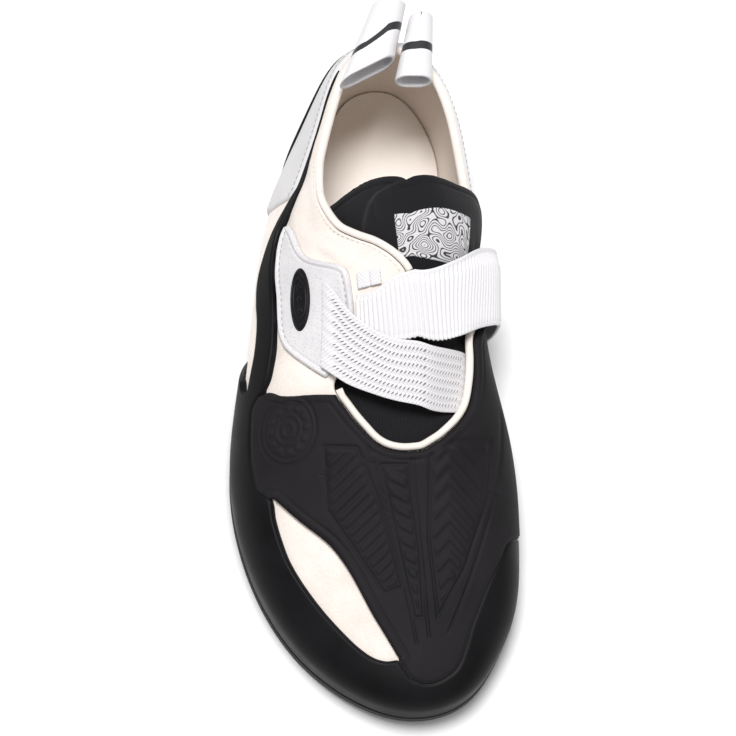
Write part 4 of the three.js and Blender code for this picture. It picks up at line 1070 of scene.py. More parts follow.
def build_upper():
    u = upper_stations()
    end = opening_edge(u)
    share = edge_rows(54)
    v = end[:, None] * share[None, :]
    place = np.broadcast_to(u[:, None], v.shape)
    face = last_point(place, v)
    joined = end > 0.99999
    open_run = np.where(section_of(u) < THROAT_END)[0]
    rim = fine_line(face[np.roll(open_run, len(open_run) // 2), -1])
    away = distance_to([rim], face)
    collar = 1 - smooth(section_of(place), *PADDING_END)
    padding = PADDING_RISE * collar * np.exp(-(((away - PADDING_INSET) / PADDING_REACH) ** 2))
    round_off = (1 - rounded(away, 0.7)) * UPPER_WALL * 0.35
    depth = crease_depth(face, UPPER_CREASES)
    outer = on_last(place, v, padding - depth - round_off)
    inner = on_last(place, v, -UPPER_WALL + round_off)
    piece = shell("upper_microfibre", outer, inner, ["microfibre", "lining"], True, joined)
    dress(piece, "upper", slot="cream_fabric")


# The piping: its steps in millimetres, where collar and flap meet, and its half height and depth
# round the collar and along the flap
BINDING_STEP = 0.6
BINDING_JOIN = 0.360
COLLAR_PIPING = (1.6, 0.8)
FLAP_PIPING = (1.4, 0.2)
BINDING_SIDES = 14
TAPER_STEPS = 9


def binding(name, u, rise, sink):
    """A round binding that follows the opening's edge; rise and sink are given for every station."""
    v = opening_edge(u)
    edge = last_point(u, v)
    length = np.append(0, np.cumsum(np.linalg.norm(np.diff(edge, axis=0), axis=1)))
    even = np.linspace(0, length[-1], int(length[-1] / BINDING_STEP))

    def resampled(values):
        return np.stack([np.interp(even, length, values[:, axis]) for axis in range(3)], axis=1)

    centre = eased(resampled(edge), 4)
    off = unit(resampled(last_normal(u, v)))
    rise, sink = (np.interp(even, length, values)[:, None, None] for values in (rise, sink))
    run = unit(np.gradient(centre, axis=0))
    inwards = unit(np.cross(off, run))
    normal = unit(np.cross(run, inwards))
    angle = np.arange(BINDING_SIDES) * 2 * np.pi / BINDING_SIDES
    ring = (
        centre[:, None]
        + inwards[:, None] * (FIT_GAP + BINDING_WIDTH / 2 * (1 + np.cos(angle)))[None, :, None]
        + normal[:, None] * (rise * np.sin(angle)[None, :, None] - sink)
    )
    return tube(name, ring, ["piping"])


def tube(name, rings, materials):
    """A closed tube through rings of points, with flat ends made of fans."""
    count, sides = rings.shape[:2]
    index = np.arange(count * sides).reshape(count, sides)
    faces = quads(np.hstack([index, index[:, :1]]))
    ends = [rings[0].mean(0), rings[-1].mean(0)]
    hub = count * sides
    caps = []
    for first, centre, step in ((0, hub, -1), (hub - sides, hub + 1, 1)):
        for k in range(0, sides, 2):
            caps.append([centre, first + k, first + k + 1, first + (k + 2) % sides][::step])
    points = np.concatenate([rings.reshape(-1, 3), np.array(ends)])
    lengths = np.append(0, np.cumsum(np.linalg.norm(np.diff(rings.mean(1), axis=0), axis=1)))
    turn = np.linspace(0, 1, sides, endpoint=False) * np.linalg.norm(
        np.diff(np.vstack([rings[0], rings[0][:1]]), axis=0), axis=1
    ).sum()
    uv = np.stack(np.meshgrid(lengths, turn, indexing="ij"), axis=-1).reshape(-1, 2)
    uv = np.vstack([uv, [[lengths[0], 0], [lengths[-1], 0]]])
    return make_object(name, points, np.concatenate([faces, np.array(caps)[:, ::-1]]), materials, uv=uv)


def piping_section(u):
    """Half height and depth of the piping at loop positions."""
    flap = smooth(u, 0.28, BINDING_JOIN)
    return [collar + (along - collar) * flap for collar, along in zip(COLLAR_PIPING, FLAP_PIPING)]


def build_bindings():
    """The collar's, the flap's and the throat's piping; the throat's thins out at its two ends."""
    u = spread([-0.40, (-0.30, 40), (0.30, 220), (BINDING_JOIN, 24)])
    dress(binding("collar_piping", u, *piping_section(u)), "collar_binding", slot="cream_fabric")
    u = spread([BINDING_JOIN, (0.425, 60), (0.470, 60)])
    dress(binding("flap_piping", u, *piping_section(u)), "flap_binding", slot="cream_fabric")
    lateral = spread([0.567, (0.635, 50), (THROAT_END, 60)])
    medial = spread([2 - THROAT_END, (2 - 0.635, 60), (2 - 0.500, 90)])
    u = np.concatenate([lateral, medial])
    count = np.arange(len(u))
    full = smooth(count, 0, TAPER_STEPS) * smooth(count[::-1], 0, TAPER_STEPS)
    rise, sink = FLAP_PIPING
    piece = binding("throat_piping", u, rise * (0.15 + 0.85 * full), sink + 0.5 * (1 - full))
    dress(piece, "throat_binding", slot="cream_fabric")


# Rubber
def rim_line(u, edge):
    return fine_line(last_point(u, edge))


def runs(marks, step=0.001):
    """Close loop positions along each pair of ends."""
    return [np.linspace(start, end, int((end - start) / step) + 4) for start, end in marks]


def build_rand():
    """The rand; where the band or the patch joins it, its edge isn't rounded."""
    start, end = RAND_ENDS
    u = spread([start, (0.532, 40), (0.547, 50), (0.66, 70), (0.93, 170), (1.07, 90), (end, 170)])
    free = ((start, BAND_JOIN[0]), (BAND_JOIN[1], PATCH_ENDS[0]), (0.656, 0.918))
    joined = ((PATCH_ENDS[0], 0.656), (0.918, end))
    rims, seams = ([rim_line(run, side_line(RAND_TOP, run)) for run in runs(marks)]
                   for marks in (free, joined))
    piece = layer(
        "toe_rand_rubber", u, lambda u: 0 * u, lambda u: side_line(RAND_TOP, u), 30,
        LAYER_GAP + RAND_THICKNESS, ["rand_rubber"], shoulder=0.9, foot=0.12, rims=rims, seams=seams,
    )
    dress(piece, "toe_rand", slot="sole_rubber")


# How far the band lies under the rand's face at its toe end, and how much thinner its heel strip is; that
# heel strip is a thin black line of painted shade along the seam between the collar and the heel panel
BAND_TUCK = 0.08
SHADE_LINE_DROP = 1.1


def build_band():
    """The band; its toe end runs on under the rand's face. Its thin heel strip is painted shade: a black line
    along the seam between the collar and the heel panel.
    """
    start, end = BAND_ENDS
    u = spread([start, (0.32, 90), (0.40, 70), (end, 110)])
    upper_edge = np.linspace(start, end, 400)
    lower_edge = np.linspace(start, BAND_JOIN[0], 400)
    rims = [
        rim_line(upper_edge, read(BAND, "high", upper_edge)),
        rim_line(lower_edge, read(BAND, "low", lower_edge)),
    ]
    piece = layer(
        "slingshot_rubber_and_shade_line", u, lambda u: read(BAND, "low", u), lambda u: read(BAND, "high", u), 14,
        LAYER_GAP + RAND_THICKNESS, ["rand_rubber"], shoulder=0.8, foot=0.12, rims=rims,
        relief=lambda place, face, away: (
            # The lowered heel strip is a thin black line of painted shade along the collar's seam with the
            # heel panel
            -BAND_TUCK * smooth(place, 0.52, 0.534) - SHADE_LINE_DROP * (1 - smooth(place, 0.33, 0.38))
        ),
    )
    dress(piece, "slingshot_band", slot="sole_rubber")


def build_heel_cap():
    u = spread([CAP_ENDS[0], (-0.25, 50), (0.0, 75), (0.25, 75), (CAP_ENDS[1], 50)])
    piece = layer(
        "heel_cap_rubber", u, lambda u: 0 * u, cap_top, 30, LAYER_GAP + HEEL_CAP_THICKNESS,
        ["rand_rubber"], shoulder=2.0, foot=0.12, rounded_rims=("high", "ends"),
    )
    dress(piece, "heel_cap", slot="sole_rubber")


# The patch's moulded pattern, in plan millimetres, x and along. Its own plain motifs: a round frame
# with rings and studs over the little toe's joint, two fields of slanted bars, nested chevrons over
# the big toe, long seams towards the toe and a pressed line inside the edge.
BORDER_INSET = 3.0
ROUND_FRAME = (-34.5, 158.0)
FRAME_RINGS = ((11.6, 1.1, -0.5), (9.6, 0.9, -0.4), (5.0, 1.0, 0.45), (2.3, 1.0, 0.45))
FRAME_STUDS = (12, 7.4, 1.15, 0.55)
FRAME_SQUEEZE = 0.78
SEAMS = (
    ((-9, 163), (0, 195), (8, 232)),
    ((6, 164), (9, 196), (12, 230)),
    ((37, 150), (33, 186), (18, 228)),
)
FIELDS = (
    (((-23, 165), (-12, 166), (-4, 186), (3, 212), (-3, 214), (-22, 186)), 0.9, 3.1),
    (((-4, 172), (5, 172), (9, 200), (10, 222), (7, 222), (2, 200)), -0.5, 4.2),
)
CHEVRON_FIELD = ((13, 166), (33, 162), (32, 182), (24, 206), (15, 222), (12, 196))
CHEVRON_TIP = 19
CHEVRON_PITCH = 6.2
LINE_WIDTH = 1.1
LINE_DEPTH = 0.5
BAR_HEIGHT = 0.45


def curve_through(points):
    a, b, c = (np.array(p, float) for p in points)
    k = np.linspace(0, 1, 160)[:, None]
    return a * (1 - k) * (1 - 2 * k) + 4 * b * k * (1 - k) + c * k * (2 * k - 1)


def depth_inside(x, along, corners):
    """How deep each point lies inside a flat outline with its corners in order; negative outside."""
    corners = np.array(corners, float)
    nearest = np.full(x.shape, 1e9)
    inside = np.zeros(x.shape, bool)
    for (x0, y0), (x1, y1) in zip(corners, np.roll(corners, -1, axis=0)):
        side_x, side_y = x1 - x0, y1 - y0
        k = np.clip(((x - x0) * side_x + (along - y0) * side_y) / (side_x**2 + side_y**2), 0, 1)
        nearest = np.minimum(nearest, np.hypot(x - x0 - k * side_x, along - y0 - k * side_y))
        crosses = (y0 > along) != (y1 > along)
        inside ^= crosses & (x < x0 + (along - y0) * side_x / np.where(side_y == 0, 1e-9, side_y))
    return np.where(inside, nearest, -nearest)


def patch_relief(place, face, away):
    """Height of the moulded pattern at each point of the patch."""
    x = face[..., 0]
    along = BALL_REST - face[..., 1]
    aside = (x - ROUND_FRAME[0]) / FRAME_SQUEEZE
    from_frame = np.hypot(aside, along - ROUND_FRAME[1])
    outside_frame = smooth(from_frame, FRAME_RINGS[0][0] + 1, FRAME_RINGS[0][0] + 2)
    height = -0.3 * groove(away - BORDER_INSET, LINE_WIDTH)
    for radius, width, lift in FRAME_RINGS:
        height = height + lift * groove(from_frame - radius, width)
    count, orbit, radius, lift = FRAME_STUDS
    turn = np.arctan2(along - ROUND_FRAME[1], aside) * count / (2 * np.pi)
    around = (turn - np.round(turn)) * 2 * np.pi / count * orbit
    height = height + lift * np.sqrt(np.clip(1 - (np.hypot(around, from_frame - orbit) / radius) ** 2, 0, 1))
    cuts = np.zeros(x.shape)
    for points in SEAMS:
        line = curve_through(points)
        at = np.interp(along, line[:, 1], line[:, 0])
        start, end = line[0, 1], line[-1, 1]
        ends = smooth(along, start - 1, start + 1) * (1 - smooth(along, end - 2, end))
        cuts = np.maximum(cuts, groove(x - at, LINE_WIDTH) * ends)
    raised = np.zeros(x.shape)
    for corners, slope, pitch in FIELDS:
        deep = depth_inside(x, along, corners)
        cuts = np.maximum(cuts, groove(deep, LINE_WIDTH))
        turn = (along + slope * x) / (pitch * math.hypot(1, slope))
        bar = smooth(np.abs(turn - np.round(turn)), 0.16, 0.3)
        raised = np.maximum(raised, bar * smooth(deep, 1.2, 1.9))
    deep = depth_inside(x, along, CHEVRON_FIELD)
    cuts = np.maximum(cuts, groove(deep, LINE_WIDTH))
    turn = (along - 1.1 * np.abs(x - CHEVRON_TIP)) / CHEVRON_PITCH
    bar = smooth(np.abs(turn - np.round(turn)), 0.2, 0.3)
    raised = np.maximum(raised, bar * smooth(deep, 1.3, 2.0))
    return height + (BAR_HEIGHT * raised - LINE_DEPTH * cuts) * outside_frame * smooth(away, 1.5, 3.0)


# How far the patch runs on over the rand at their seam, as a share of the girth
SEAM_LAP = 0.003


def build_patch():
    """The patch; along the rand it lies flush, with only a pressed seam between them."""
    start, end = PATCH_ENDS
    u = spread([start, (0.66, 90), (0.93, 175), (1.07, 50), (1.34, 165), (2 - 0.52, 70), (end, 30)])
    tail = 2 - TAIL_ROOT
    everywhere, = runs(((start, end),), 0.0005)
    leaf, = runs((LEAF_ENDS,))
    on_tail, = runs(((tail, end),))
    lateral = everywhere[everywhere < THROAT_END]
    medial = everywhere[everywhere > 2 - THROAT_END]
    rims = [rim_line(run, patch_high(run)) for run in (lateral, medial)]
    rims += [rim_line(run, patch_low(run)) for run in (leaf, on_tail)]
    on_rand = runs(((start, LEAF_ENDS[0]), (LEAF_ENDS[1], RAND_ENDS[1])))
    seams = [rim_line(run, patch_low(run)) for run in on_rand]
    piece = layer(
        "toe_patch_rubber", u, lambda u: patch_low(u) - SEAM_LAP, patch_high, 74,
        LAYER_GAP + PATCH_THICKNESS, ["patch_rubber"], shoulder=1.0, relief=patch_relief, foot=0.1,
        rims=rims, seams=seams,
    )
    dress(piece, "toe_patch", slot="patch_rubber")


# Panel and tab
def build_panel():
    u = spread([PANEL_ENDS[0], (-0.43, 50), (-0.30, 45), (0.0, 85), (0.30, 85), (PANEL_ENDS[1], 45)])
    piece = layer(
        "heel_panel_synthetic", u, panel_low, lambda u: side_line(PANEL_TOP, u), 34,
        LAYER_GAP + PANEL_THICKNESS, ["synthetic"], shoulder=0.8, foot=0.3,
    )
    dress(piece, "heel_panel", slot="grey_synthetic")


def tab_relief(place, face, away):
    """A raised piping along the tab's edge and a pressed line inside it."""
    return 0.45 * np.exp(-(((away - 1.1) / 0.7) ** 2)) - 0.3 * groove(away - 2.2, 0.8)


# The tab's badge: middle as section and crest share, half length and half width in millimetres
BADGE_PLACE = (0.470, -0.468)
BADGE_HALF = (11.5, 4.3)
BADGE_THICKNESS = 0.5
BADGE_STUDS = (-4.2, 0, 4.2)


def build_badge():
    """A plain oval rubber badge with two rings and a row of three studs."""
    radius = np.concatenate([[0.0], np.linspace(0.05, 0.94, 34), [0.97, 0.99, 1.0]])
    angle = np.linspace(0, 2 * np.pi, 96, endpoint=False)
    t, g = BADGE_PLACE
    middle = over_crest(t, g, 0.0)
    t_scale = np.linalg.norm(over_crest(t + 0.01, g, 0.0) - middle) / 0.01
    g_scale = np.linalg.norm(over_crest(t, g + 0.01, 0.0) - middle) / 0.01
    along = BADGE_HALF[0] * radius * np.cos(angle)[:, None]
    across = BADGE_HALF[1] * radius * np.sin(angle)[:, None]
    t, g = t + along / t_scale, g + across / g_scale
    share = np.broadcast_to(radius, along.shape)
    studs = sum(np.exp(-(((along - place) ** 2 + across**2) / 0.9) ** 2) for place in BADGE_STUDS)
    lift = 0.35 * groove(share - 0.86, 0.1) + 0.3 * groove(share - 0.64, 0.09) + 0.4 * studs
    tab = FIT_GAP + TAB_THICKNESS
    face = tab + BADGE_THICKNESS * rounded((1 - share) * BADGE_HALF[1], 0.4) + lift
    outer = over_crest(t, g, face)
    inner = over_crest(t, g, np.full(t.shape, tab - 0.3))
    piece = shell("strap_tab_badge", outer, inner, ["badge"], ring=True)
    dress(piece, slot="grey_synthetic")


def build_tab():
    u = spread([0.386, (0.40, 25), (0.50, 90), (0.552, 60)])
    piece = layer(
        "strap_tab_synthetic", u, lambda u: read(TAB, "low", u), lambda u: read(TAB, "high", u), 54,
        FIT_GAP + TAB_THICKNESS, ["tab"], shoulder=0.8, relief=tab_relief, foot=0.25,
    )
    dress(piece, "strap_tab", slot="grey_synthetic")


# Tongue and label
def tongue_face(t, g):
    corner = CORNER_LIFT * smooth(g, 0.15, 0.42) * (1 - smooth(t, 0.37, 0.43))
    free = -UNDER_FLAP + (TONGUE_PROUD + UNDER_FLAP) * smooth(g, -0.25, 0.1) + corner
    return free + (-TONGUE_SINK - free) * smooth(t, 0.4, 0.5)


# The edge of the tongue's thick middle; outside it, towards the flap, the knit lies lower
TONGUE_RIDGE = table(("at", "g"), [
    (0.345, 0.060), (0.366, -0.030), (0.380, -0.130), (0.398, -0.170), (0.420, -0.190), (0.470, -0.200),
])
LOBE_DROP = 1.7


def lobe_step(t, g):
    """How far the knit lies below the thick middle, in millimetres."""
    inside = (g - read(TONGUE_RIDGE, "g", t)) * girth_at(t)
    return LOBE_DROP * (1 - smooth(inside, -3.0, 0.8)) * (1 - smooth(t, 0.42, 0.48))


def tongue_place(s, w):
    top = read(TONGUE_TOP, "t", w)
    t = top + (TONGUE_TIP - top) * s
    lateral = read(TONGUE_EDGES, "lateral", t)
    medial = read(TONGUE_EDGES, "medial", t)
    return t, lateral + (medial - lateral) * w


def build_tongue():
    s = spread([0.0, (0.03, 10), (0.9, 150), (1.0, 10)])
    w = edge_rows(76, (0.0, 0.006, 0.014, 0.026, 0.04))
    along, across = np.meshgrid(s, w, indexing="ij")
    t, g = tongue_place(along, across)
    face = over_crest(t, g, tongue_face(t, g))
    depth = crease_depth(face, TONGUE_CREASES) + lobe_step(t, g)

    def relief(s, w, away):
        hem = 0.35 * groove(away - 2.6, 0.9)
        return 0.45 * smooth(away, 2.5, 8) - depth - hem

    piece = strip(
        "tongue_padded_knit", s, w, tongue_place,
        lambda s, w: tongue_face(*tongue_place(s, w)) - TONGUE_WALL, TONGUE_WALL, ["knit"],
        relief=relief, edge=1.3,
    )
    dress(piece, "tongue", slot="black_textile")


def straight(box):
    """The place on the last of each share of a straight piece."""
    top, bottom, first, last, skew = box

    def place(s, w):
        return top + (bottom - top) * s - skew * w, first + (last - first) * w

    return place


def build_label():
    place = straight(LABEL)
    piece = strip(
        "tongue_label_cloth", np.linspace(0, 1, 40), np.linspace(0, 1, 48), place,
        lambda s, w: tongue_face(*place(s, w)) + 0.35, LABEL_THICKNESS, ["label"],
        relief=lambda s, w, away: -0.15 * groove(away - 1.4, 0.7), edge=0.4,
    )
    dress(piece, "tongue_label", slot="label_cloth")


# Straps
def strap_place(source):
    def place(s, w):
        top_t, bottom_t = read(source, "top_t", s), read(source, "bottom_t", s)
        top_g, bottom_g = read(source, "top_g", s), read(source, "bottom_g", s)
        return top_t + (bottom_t - top_t) * w, top_g + (bottom_g - top_g) * w

    return place


def begin_tree(name, source, numbers, result):
    """A tree of geometry nodes with named inputs: a geometry, some numbers and a material."""
    tree = bpy.data.node_groups.new(name, "GeometryNodeTree")
    sockets = [(source, "INPUT", "Geometry")] + [(number, "INPUT", "Float") for number in numbers]
    sockets += [("Material", "INPUT", "Material"), (result, "OUTPUT", "Geometry")]
    for socket, side, kind in sockets:
        tree.interface.new_socket(socket, in_out=side, socket_type="NodeSocket" + kind)
    return tree, add(tree, "NodeGroupInput").outputs


def end_tree(tree, geometry, material, result):
    """Makes instances real, gives them their material and ends the tree."""
    real = add(tree, "GeometryNodeRealizeInstances", {"Geometry": geometry})
    done = add(tree, "GeometryNodeSetMaterial", {
        "Geometry": real.outputs["Geometry"], "Material": material,
    })
    add(tree, "NodeGroupOutput", {result: done.outputs["Geometry"]})


def rib_tree():
    """Geometry nodes that raise even ribs across a strap, along its own length."""
    tree, given = begin_tree("Strap ribs", "Strap", ("Rib pitch", "Rib height"), "Ribbed strap")
    along = add(tree, "GeometryNodeInputNamedAttribute", {"Name": "along"}, data_type="FLOAT")
    lift = add(tree, "GeometryNodeInputNamedAttribute", {"Name": "lift"}, data_type="FLOAT_VECTOR")
    turns = add(tree, "ShaderNodeMath", {
        0: along.outputs["Attribute"], 1: given["Rib pitch"],
    }, operation="DIVIDE")
    angle = add(tree, "ShaderNodeMath", {0: turns.outputs[0], 1: 2 * math.pi}, operation="MULTIPLY")
    wave = add(tree, "ShaderNodeMath", {0: angle.outputs[0]}, operation="SINE")
    height = add(tree, "ShaderNodeMath", {
        0: wave.outputs[0], 1: given["Rib height"],
    }, operation="MULTIPLY")
    offset = add(tree, "ShaderNodeVectorMath", {
        0: lift.outputs["Attribute"], "Scale": height.outputs[0],
    }, operation="SCALE")
    moved = add(tree, "GeometryNodeSetPosition", {
        "Geometry": given["Strap"], "Offset": offset.outputs["Vector"],
    })
    end_tree(tree, moved.outputs["Geometry"], given["Material"], "Ribbed strap")
    return tree


def stitch_tree():
    """Geometry nodes that lay stitches at even steps along lines, tipped by a slant angle."""
    numbers = ("Stitch pitch", "Stitch length", "Thread width", "Slant")
    tree, given = begin_tree("Stitch lines", "Lines", numbers, "Stitches")
    curve = add(tree, "GeometryNodeMeshToCurve", {"Mesh": given["Lines"]})
    steps = add(tree, "GeometryNodeResampleCurve", {
        "Curve": curve.outputs["Curve"], "Length": given["Stitch pitch"],
    }, mode="LENGTH")
    ball = add(tree, "GeometryNodeMeshUVSphere", {"Segments": 6, "Rings": 5, "Radius": 0.5})
    size = add(tree, "ShaderNodeCombineXYZ", {
        "X": given["Stitch length"], "Y": given["Thread width"], "Z": given["Thread width"],
    })
    thread = add(tree, "GeometryNodeTransform", {
        "Geometry": ball.outputs["Mesh"], "Scale": size.outputs["Vector"],
    })
    tangent = add(tree, "GeometryNodeInputTangent")
    lift = add(tree, "GeometryNodeInputNamedAttribute", {"Name": "lift"}, data_type="FLOAT_VECTOR")
    facing = add(tree, "FunctionNodeAxesToRotation", {
        "Primary Axis": tangent.outputs["Tangent"], "Secondary Axis": lift.outputs["Attribute"],
    }, primary_axis="X", secondary_axis="Z")
    slanted = add(tree, "FunctionNodeAxisAngleToRotation", {"Axis": (0, 0, 1), "Angle": given["Slant"]})
    turned = add(tree, "FunctionNodeRotateRotation", {
        "Rotation": facing.outputs["Rotation"], "Rotate By": slanted.outputs["Rotation"],
    }, rotation_space="LOCAL")
    laid = add(tree, "GeometryNodeInstanceOnPoints", {
        "Points": steps.outputs["Curve"], "Instance": thread.outputs["Geometry"],
        "Rotation": turned.outputs["Rotation"],
    })
    end_tree(tree, laid.outputs["Instances"], given["Material"], "Stitches")
    return tree


def settle(source, tree, values, name):
    """Runs a node tree on an object, keeps the result as a plain mesh and drops the source."""
    modifier = source.modifiers.new("Build", "NODES")
    modifier.node_group = tree
    sockets = {item.name: item.identifier for item in tree.interface.items_tree if item.in_out == "INPUT"}
    for key, value in values.items():
        modifier[sockets[key]] = value
    graph = bpy.context.evaluated_depsgraph_get()
    mesh = bpy.data.meshes.new_from_object(source.evaluated_get(graph))
    mesh.name = name
    bpy.data.objects.remove(source)
    mesh.polygons.foreach_set("use_smooth", np.ones(len(mesh.polygons), bool))
    return linked(name, mesh)


def store(mesh, name, kind, values):
    """Keeps one value a vertex under a name that a node tree reads."""
    attribute = mesh.attributes.new(name, kind, "POINT")
    key = "vector" if kind == "FLOAT_VECTOR" else "value"
    attribute.data.foreach_set(key, np.asarray(values, np.float32).ravel())


def vertex_normals(mesh):
    normals = np.zeros(len(mesh.vertices) * 3, np.float32)
    mesh.vertices.foreach_get("normal", normals)
    return normals.reshape(-1, 3)


# The ribbed strap's second layer starts at these shares of its width, this much higher
SECOND_LAYER = (0.13, 0.155)
SECOND_LAYER_RISE = 0.6


def ribbed_relief(s, w, away):
    """A flat selvedge on both edges and a second layer's step along the strap's top edge."""
    step = SECOND_LAYER_RISE * smooth(w, *SECOND_LAYER)
    return step - 0.35 - 0.25 * groove(away - 1.6, 0.8)


def vertex_uv(mesh):
    """The UV map of a mesh with one place a vertex."""
    at_corners = np.zeros(len(mesh.loops) * 2, np.float32)
    mesh.uv_layers["UVMap"].data.foreach_get("uv", at_corners)
    corner = np.zeros(len(mesh.loops), int)
    mesh.loops.foreach_get("vertex_index", corner)
    uv = np.zeros((len(mesh.vertices), 2))
    uv[corner] = at_corners.reshape(-1, 2)
    return uv


def build_ribbed_strap(sizes):
    """The ribbed strap; its ribs leave both selvedges and its underside flat."""
    strap = strip(
        "strap_ribbed_base", np.linspace(0, 1, 420), edge_rows(26, (0.0, 0.01, 0.024, 0.045, 0.07)),
        strap_place(RIBBED), lambda s, w: read(RIBBED, "under", s), STRAP_THICKNESS - 0.25, ["ribbed"],
        relief=ribbed_relief, edge=0.6,
    )
    mesh = strap.data
    uv = vertex_uv(mesh)
    away = np.minimum(uv[:, 1], uv[:, 1].max() - uv[:, 1])
    weight = smooth(away, 1.2, 2.2)
    weight[len(mesh.vertices) // 2:] = 0
    store(mesh, "along", "FLOAT", uv[:, 0] * MM)
    store(mesh, "lift", "FLOAT_VECTOR", vertex_normals(mesh) * weight[:, None])
    values = {
        "Rib pitch": sizes.rib_pitch, "Rib height": sizes.rib_height, "Material": MATERIALS["ribbed"],
    }
    piece = settle(strap, rib_tree(), values, "strap_ribbed_webbing")
    dress(piece, "strap_ribbed", slot="strip_webbing")


# The woven strap: its stations, how often its line is eased over the crest, the cords over its width,
# and its rows of strokes as shares of the width, dark first and faded towards the throat
WOVEN_STATIONS = 260
WOVEN_EASE = 150
WOVEN_CORDS = 7.7
STROKE_ROWS = (0.12, 0.25, 0.38, 0.51, 0.64, 0.77, 0.89)
STROKES_DARK = slice(26, 165)
STROKES_FADED = slice(165, 236)


def woven_relief(s, w, away):
    """Lengthwise cords of the woven webbing and its folded start."""
    cords = 0.18 * np.cos(2 * np.pi * w * WOVEN_CORDS) * smooth(away, 0.8, 1.6)
    return cords + 0.55 * (1 - smooth(s, 0.05, 0.075))


def build_woven_strap():
    piece = strip(
        "strap_woven_webbing", np.linspace(0, 1, WOVEN_STATIONS),
        edge_rows(50, (0.0, 0.008, 0.02, 0.035, 0.05)), strap_place(WOVEN),
        lambda s, w: read(WOVEN, "under", s), STRAP_THICKNESS - 0.2, ["webbing"],
        relief=woven_relief, edge=0.6, ease=WOVEN_EASE,
    )
    dress(piece, "strap_woven", slot="strip_webbing")


def build_keeper_and_anchor():
    lift = 4 * LAYER_GAP + PATCH_THICKNESS + STRAP_THICKNESS
    piece = strip(
        "strap_keeper_synthetic", np.linspace(0, 1, 70), np.linspace(0, 1, 20), straight(KEEPER),
        lambda s, w: lift + 0.8 * (1 - w), PANEL_THICKNESS, ["synthetic"],
        relief=lambda s, w, away: -0.2 * groove(away - 1.3, 0.7),
    )
    dress(piece, "strap_keeper", slot="grey_synthetic")
    piece = strip(
        "strap_anchor_webbing", np.linspace(0, 1, 30), np.linspace(0, 1, 40), straight(ANCHOR),
        lambda s, w: FIT_GAP + 0 * s, TAB_THICKNESS, ["webbing"], edge=0.6,
        relief=lambda s, w, away: -0.7 * groove((w - 0.5) * 7, 0.9),
    )
    dress(piece, "strap_anchor", slot="strip_webbing")


# Pull loops
def build_loop(side, loop):
    """A flattened tube of tape: its mouth faces the toe, its back is narrower and leans inwards."""
    angle = np.linspace(0, 2 * np.pi, 96, endpoint=False)
    k = np.concatenate([[0, 0.006, 0.016], np.linspace(0.036, 0.964, 44), [0.984, 0.994, 1]])[:, None]
    mouth, back = (np.array(loop[end], float) for end in ("mouth", "back"))
    left, right = (mouth[end] + (back[end] - mouth[end]) * k for end in (0, 1))
    middle, half = (left + right) / 2, (right - left) / 2
    reach = np.linalg.norm(half, axis=1, keepdims=True)
    length = np.linalg.norm(middle[-1] - middle[0])
    round_off = (1 - rounded(np.minimum(k, 1 - k) * length, 0.5)) * LOOP_WALL * 0.35
    radius = loop["height"] / 2
    centre = last_point(0, opening_edge(0))[2] + loop["rest"] + radius

    def skin(inset):
        trim = radius - inset - (round_off if inset == 0 else -round_off)
        across = np.sign(np.cos(angle)) * (reach - radius) + trim * np.cos(angle)
        slack = LOOP_SLACK * np.exp(-((across / 4) ** 2)) * np.sin(np.pi * k)
        up = trim * np.sin(angle) - slack * np.sign(np.sin(angle)) + LOOP_RISE * (k - 0.5)
        share = across / reach
        x = middle[:, :1] + share * half[:, :1]
        along = middle[:, 1:] + share * half[:, 1:]
        return np.stack([x, BALL_REST - along, centre + up], axis=-1).swapaxes(0, 1)

    piece = shell(f"pull_loop_{side}_tape", skin(0), skin(LOOP_WALL), ["loop_webbing"], ring=True)
    dress(piece, f"pull_loop_{side}", slot="strip_webbing")


# Stitching
def line_object(name, lines):
    """Loose lines with the way off the surface kept at every point."""
    points, lifts, edges = [], [], []
    for line, lift in lines:
        first = sum(len(part) for part in points)
        points.append(line)
        lifts.append(lift)
        edges += [(first + k, first + k + 1) for k in range(len(line) - 1)]
    mesh = bpy.data.meshes.new(name)
    mesh.from_pydata((np.concatenate(points) * MM).tolist(), edges, [])
    store(mesh, "lift", "FLOAT_VECTOR", np.concatenate(lifts))
    return linked(name, mesh)


def surface_line(u, v, height):
    return on_last(u, v, np.full(np.shape(u), height)), last_normal(u, v)


def crest_line(t, g, height):
    u, v = chart(t, g)
    return on_last(u, v, np.broadcast_to(height, np.shape(u))), last_normal(u, v)


def sew(name, lines, thread, sizes, slot, slant=0.0, shares=(1.0, 1.0, 1.0)):
    """Stitches along lines; the shares scale their pitch, their length and the thread's width."""
    pitch, length, width = shares
    values = {
        "Stitch pitch": sizes.stitch_pitch * pitch, "Stitch length": sizes.stitch_length * length,
        "Thread width": sizes.thread_width * width, "Slant": slant, "Material": MATERIALS[thread],
    }
    piece = settle(line_object(name + "_lines", lines), stitch_tree(), values, name)
    dress(piece, slot=slot)


def edge_stitches(start, end, count, edge, inset, height):
    """A line of stitches that lies a distance inside an edge, in millimetres."""
    u = np.linspace(start, end, count)
    return surface_line(u, edge(u) + inset / girth_at(u), height)


# How far each line of stitches lies from its edge, in millimetres
PANEL_INSET = 1.8
TAB_INSET = 2.3
COLLAR_INSET = 1.4
FLAP_INSET = 1.6


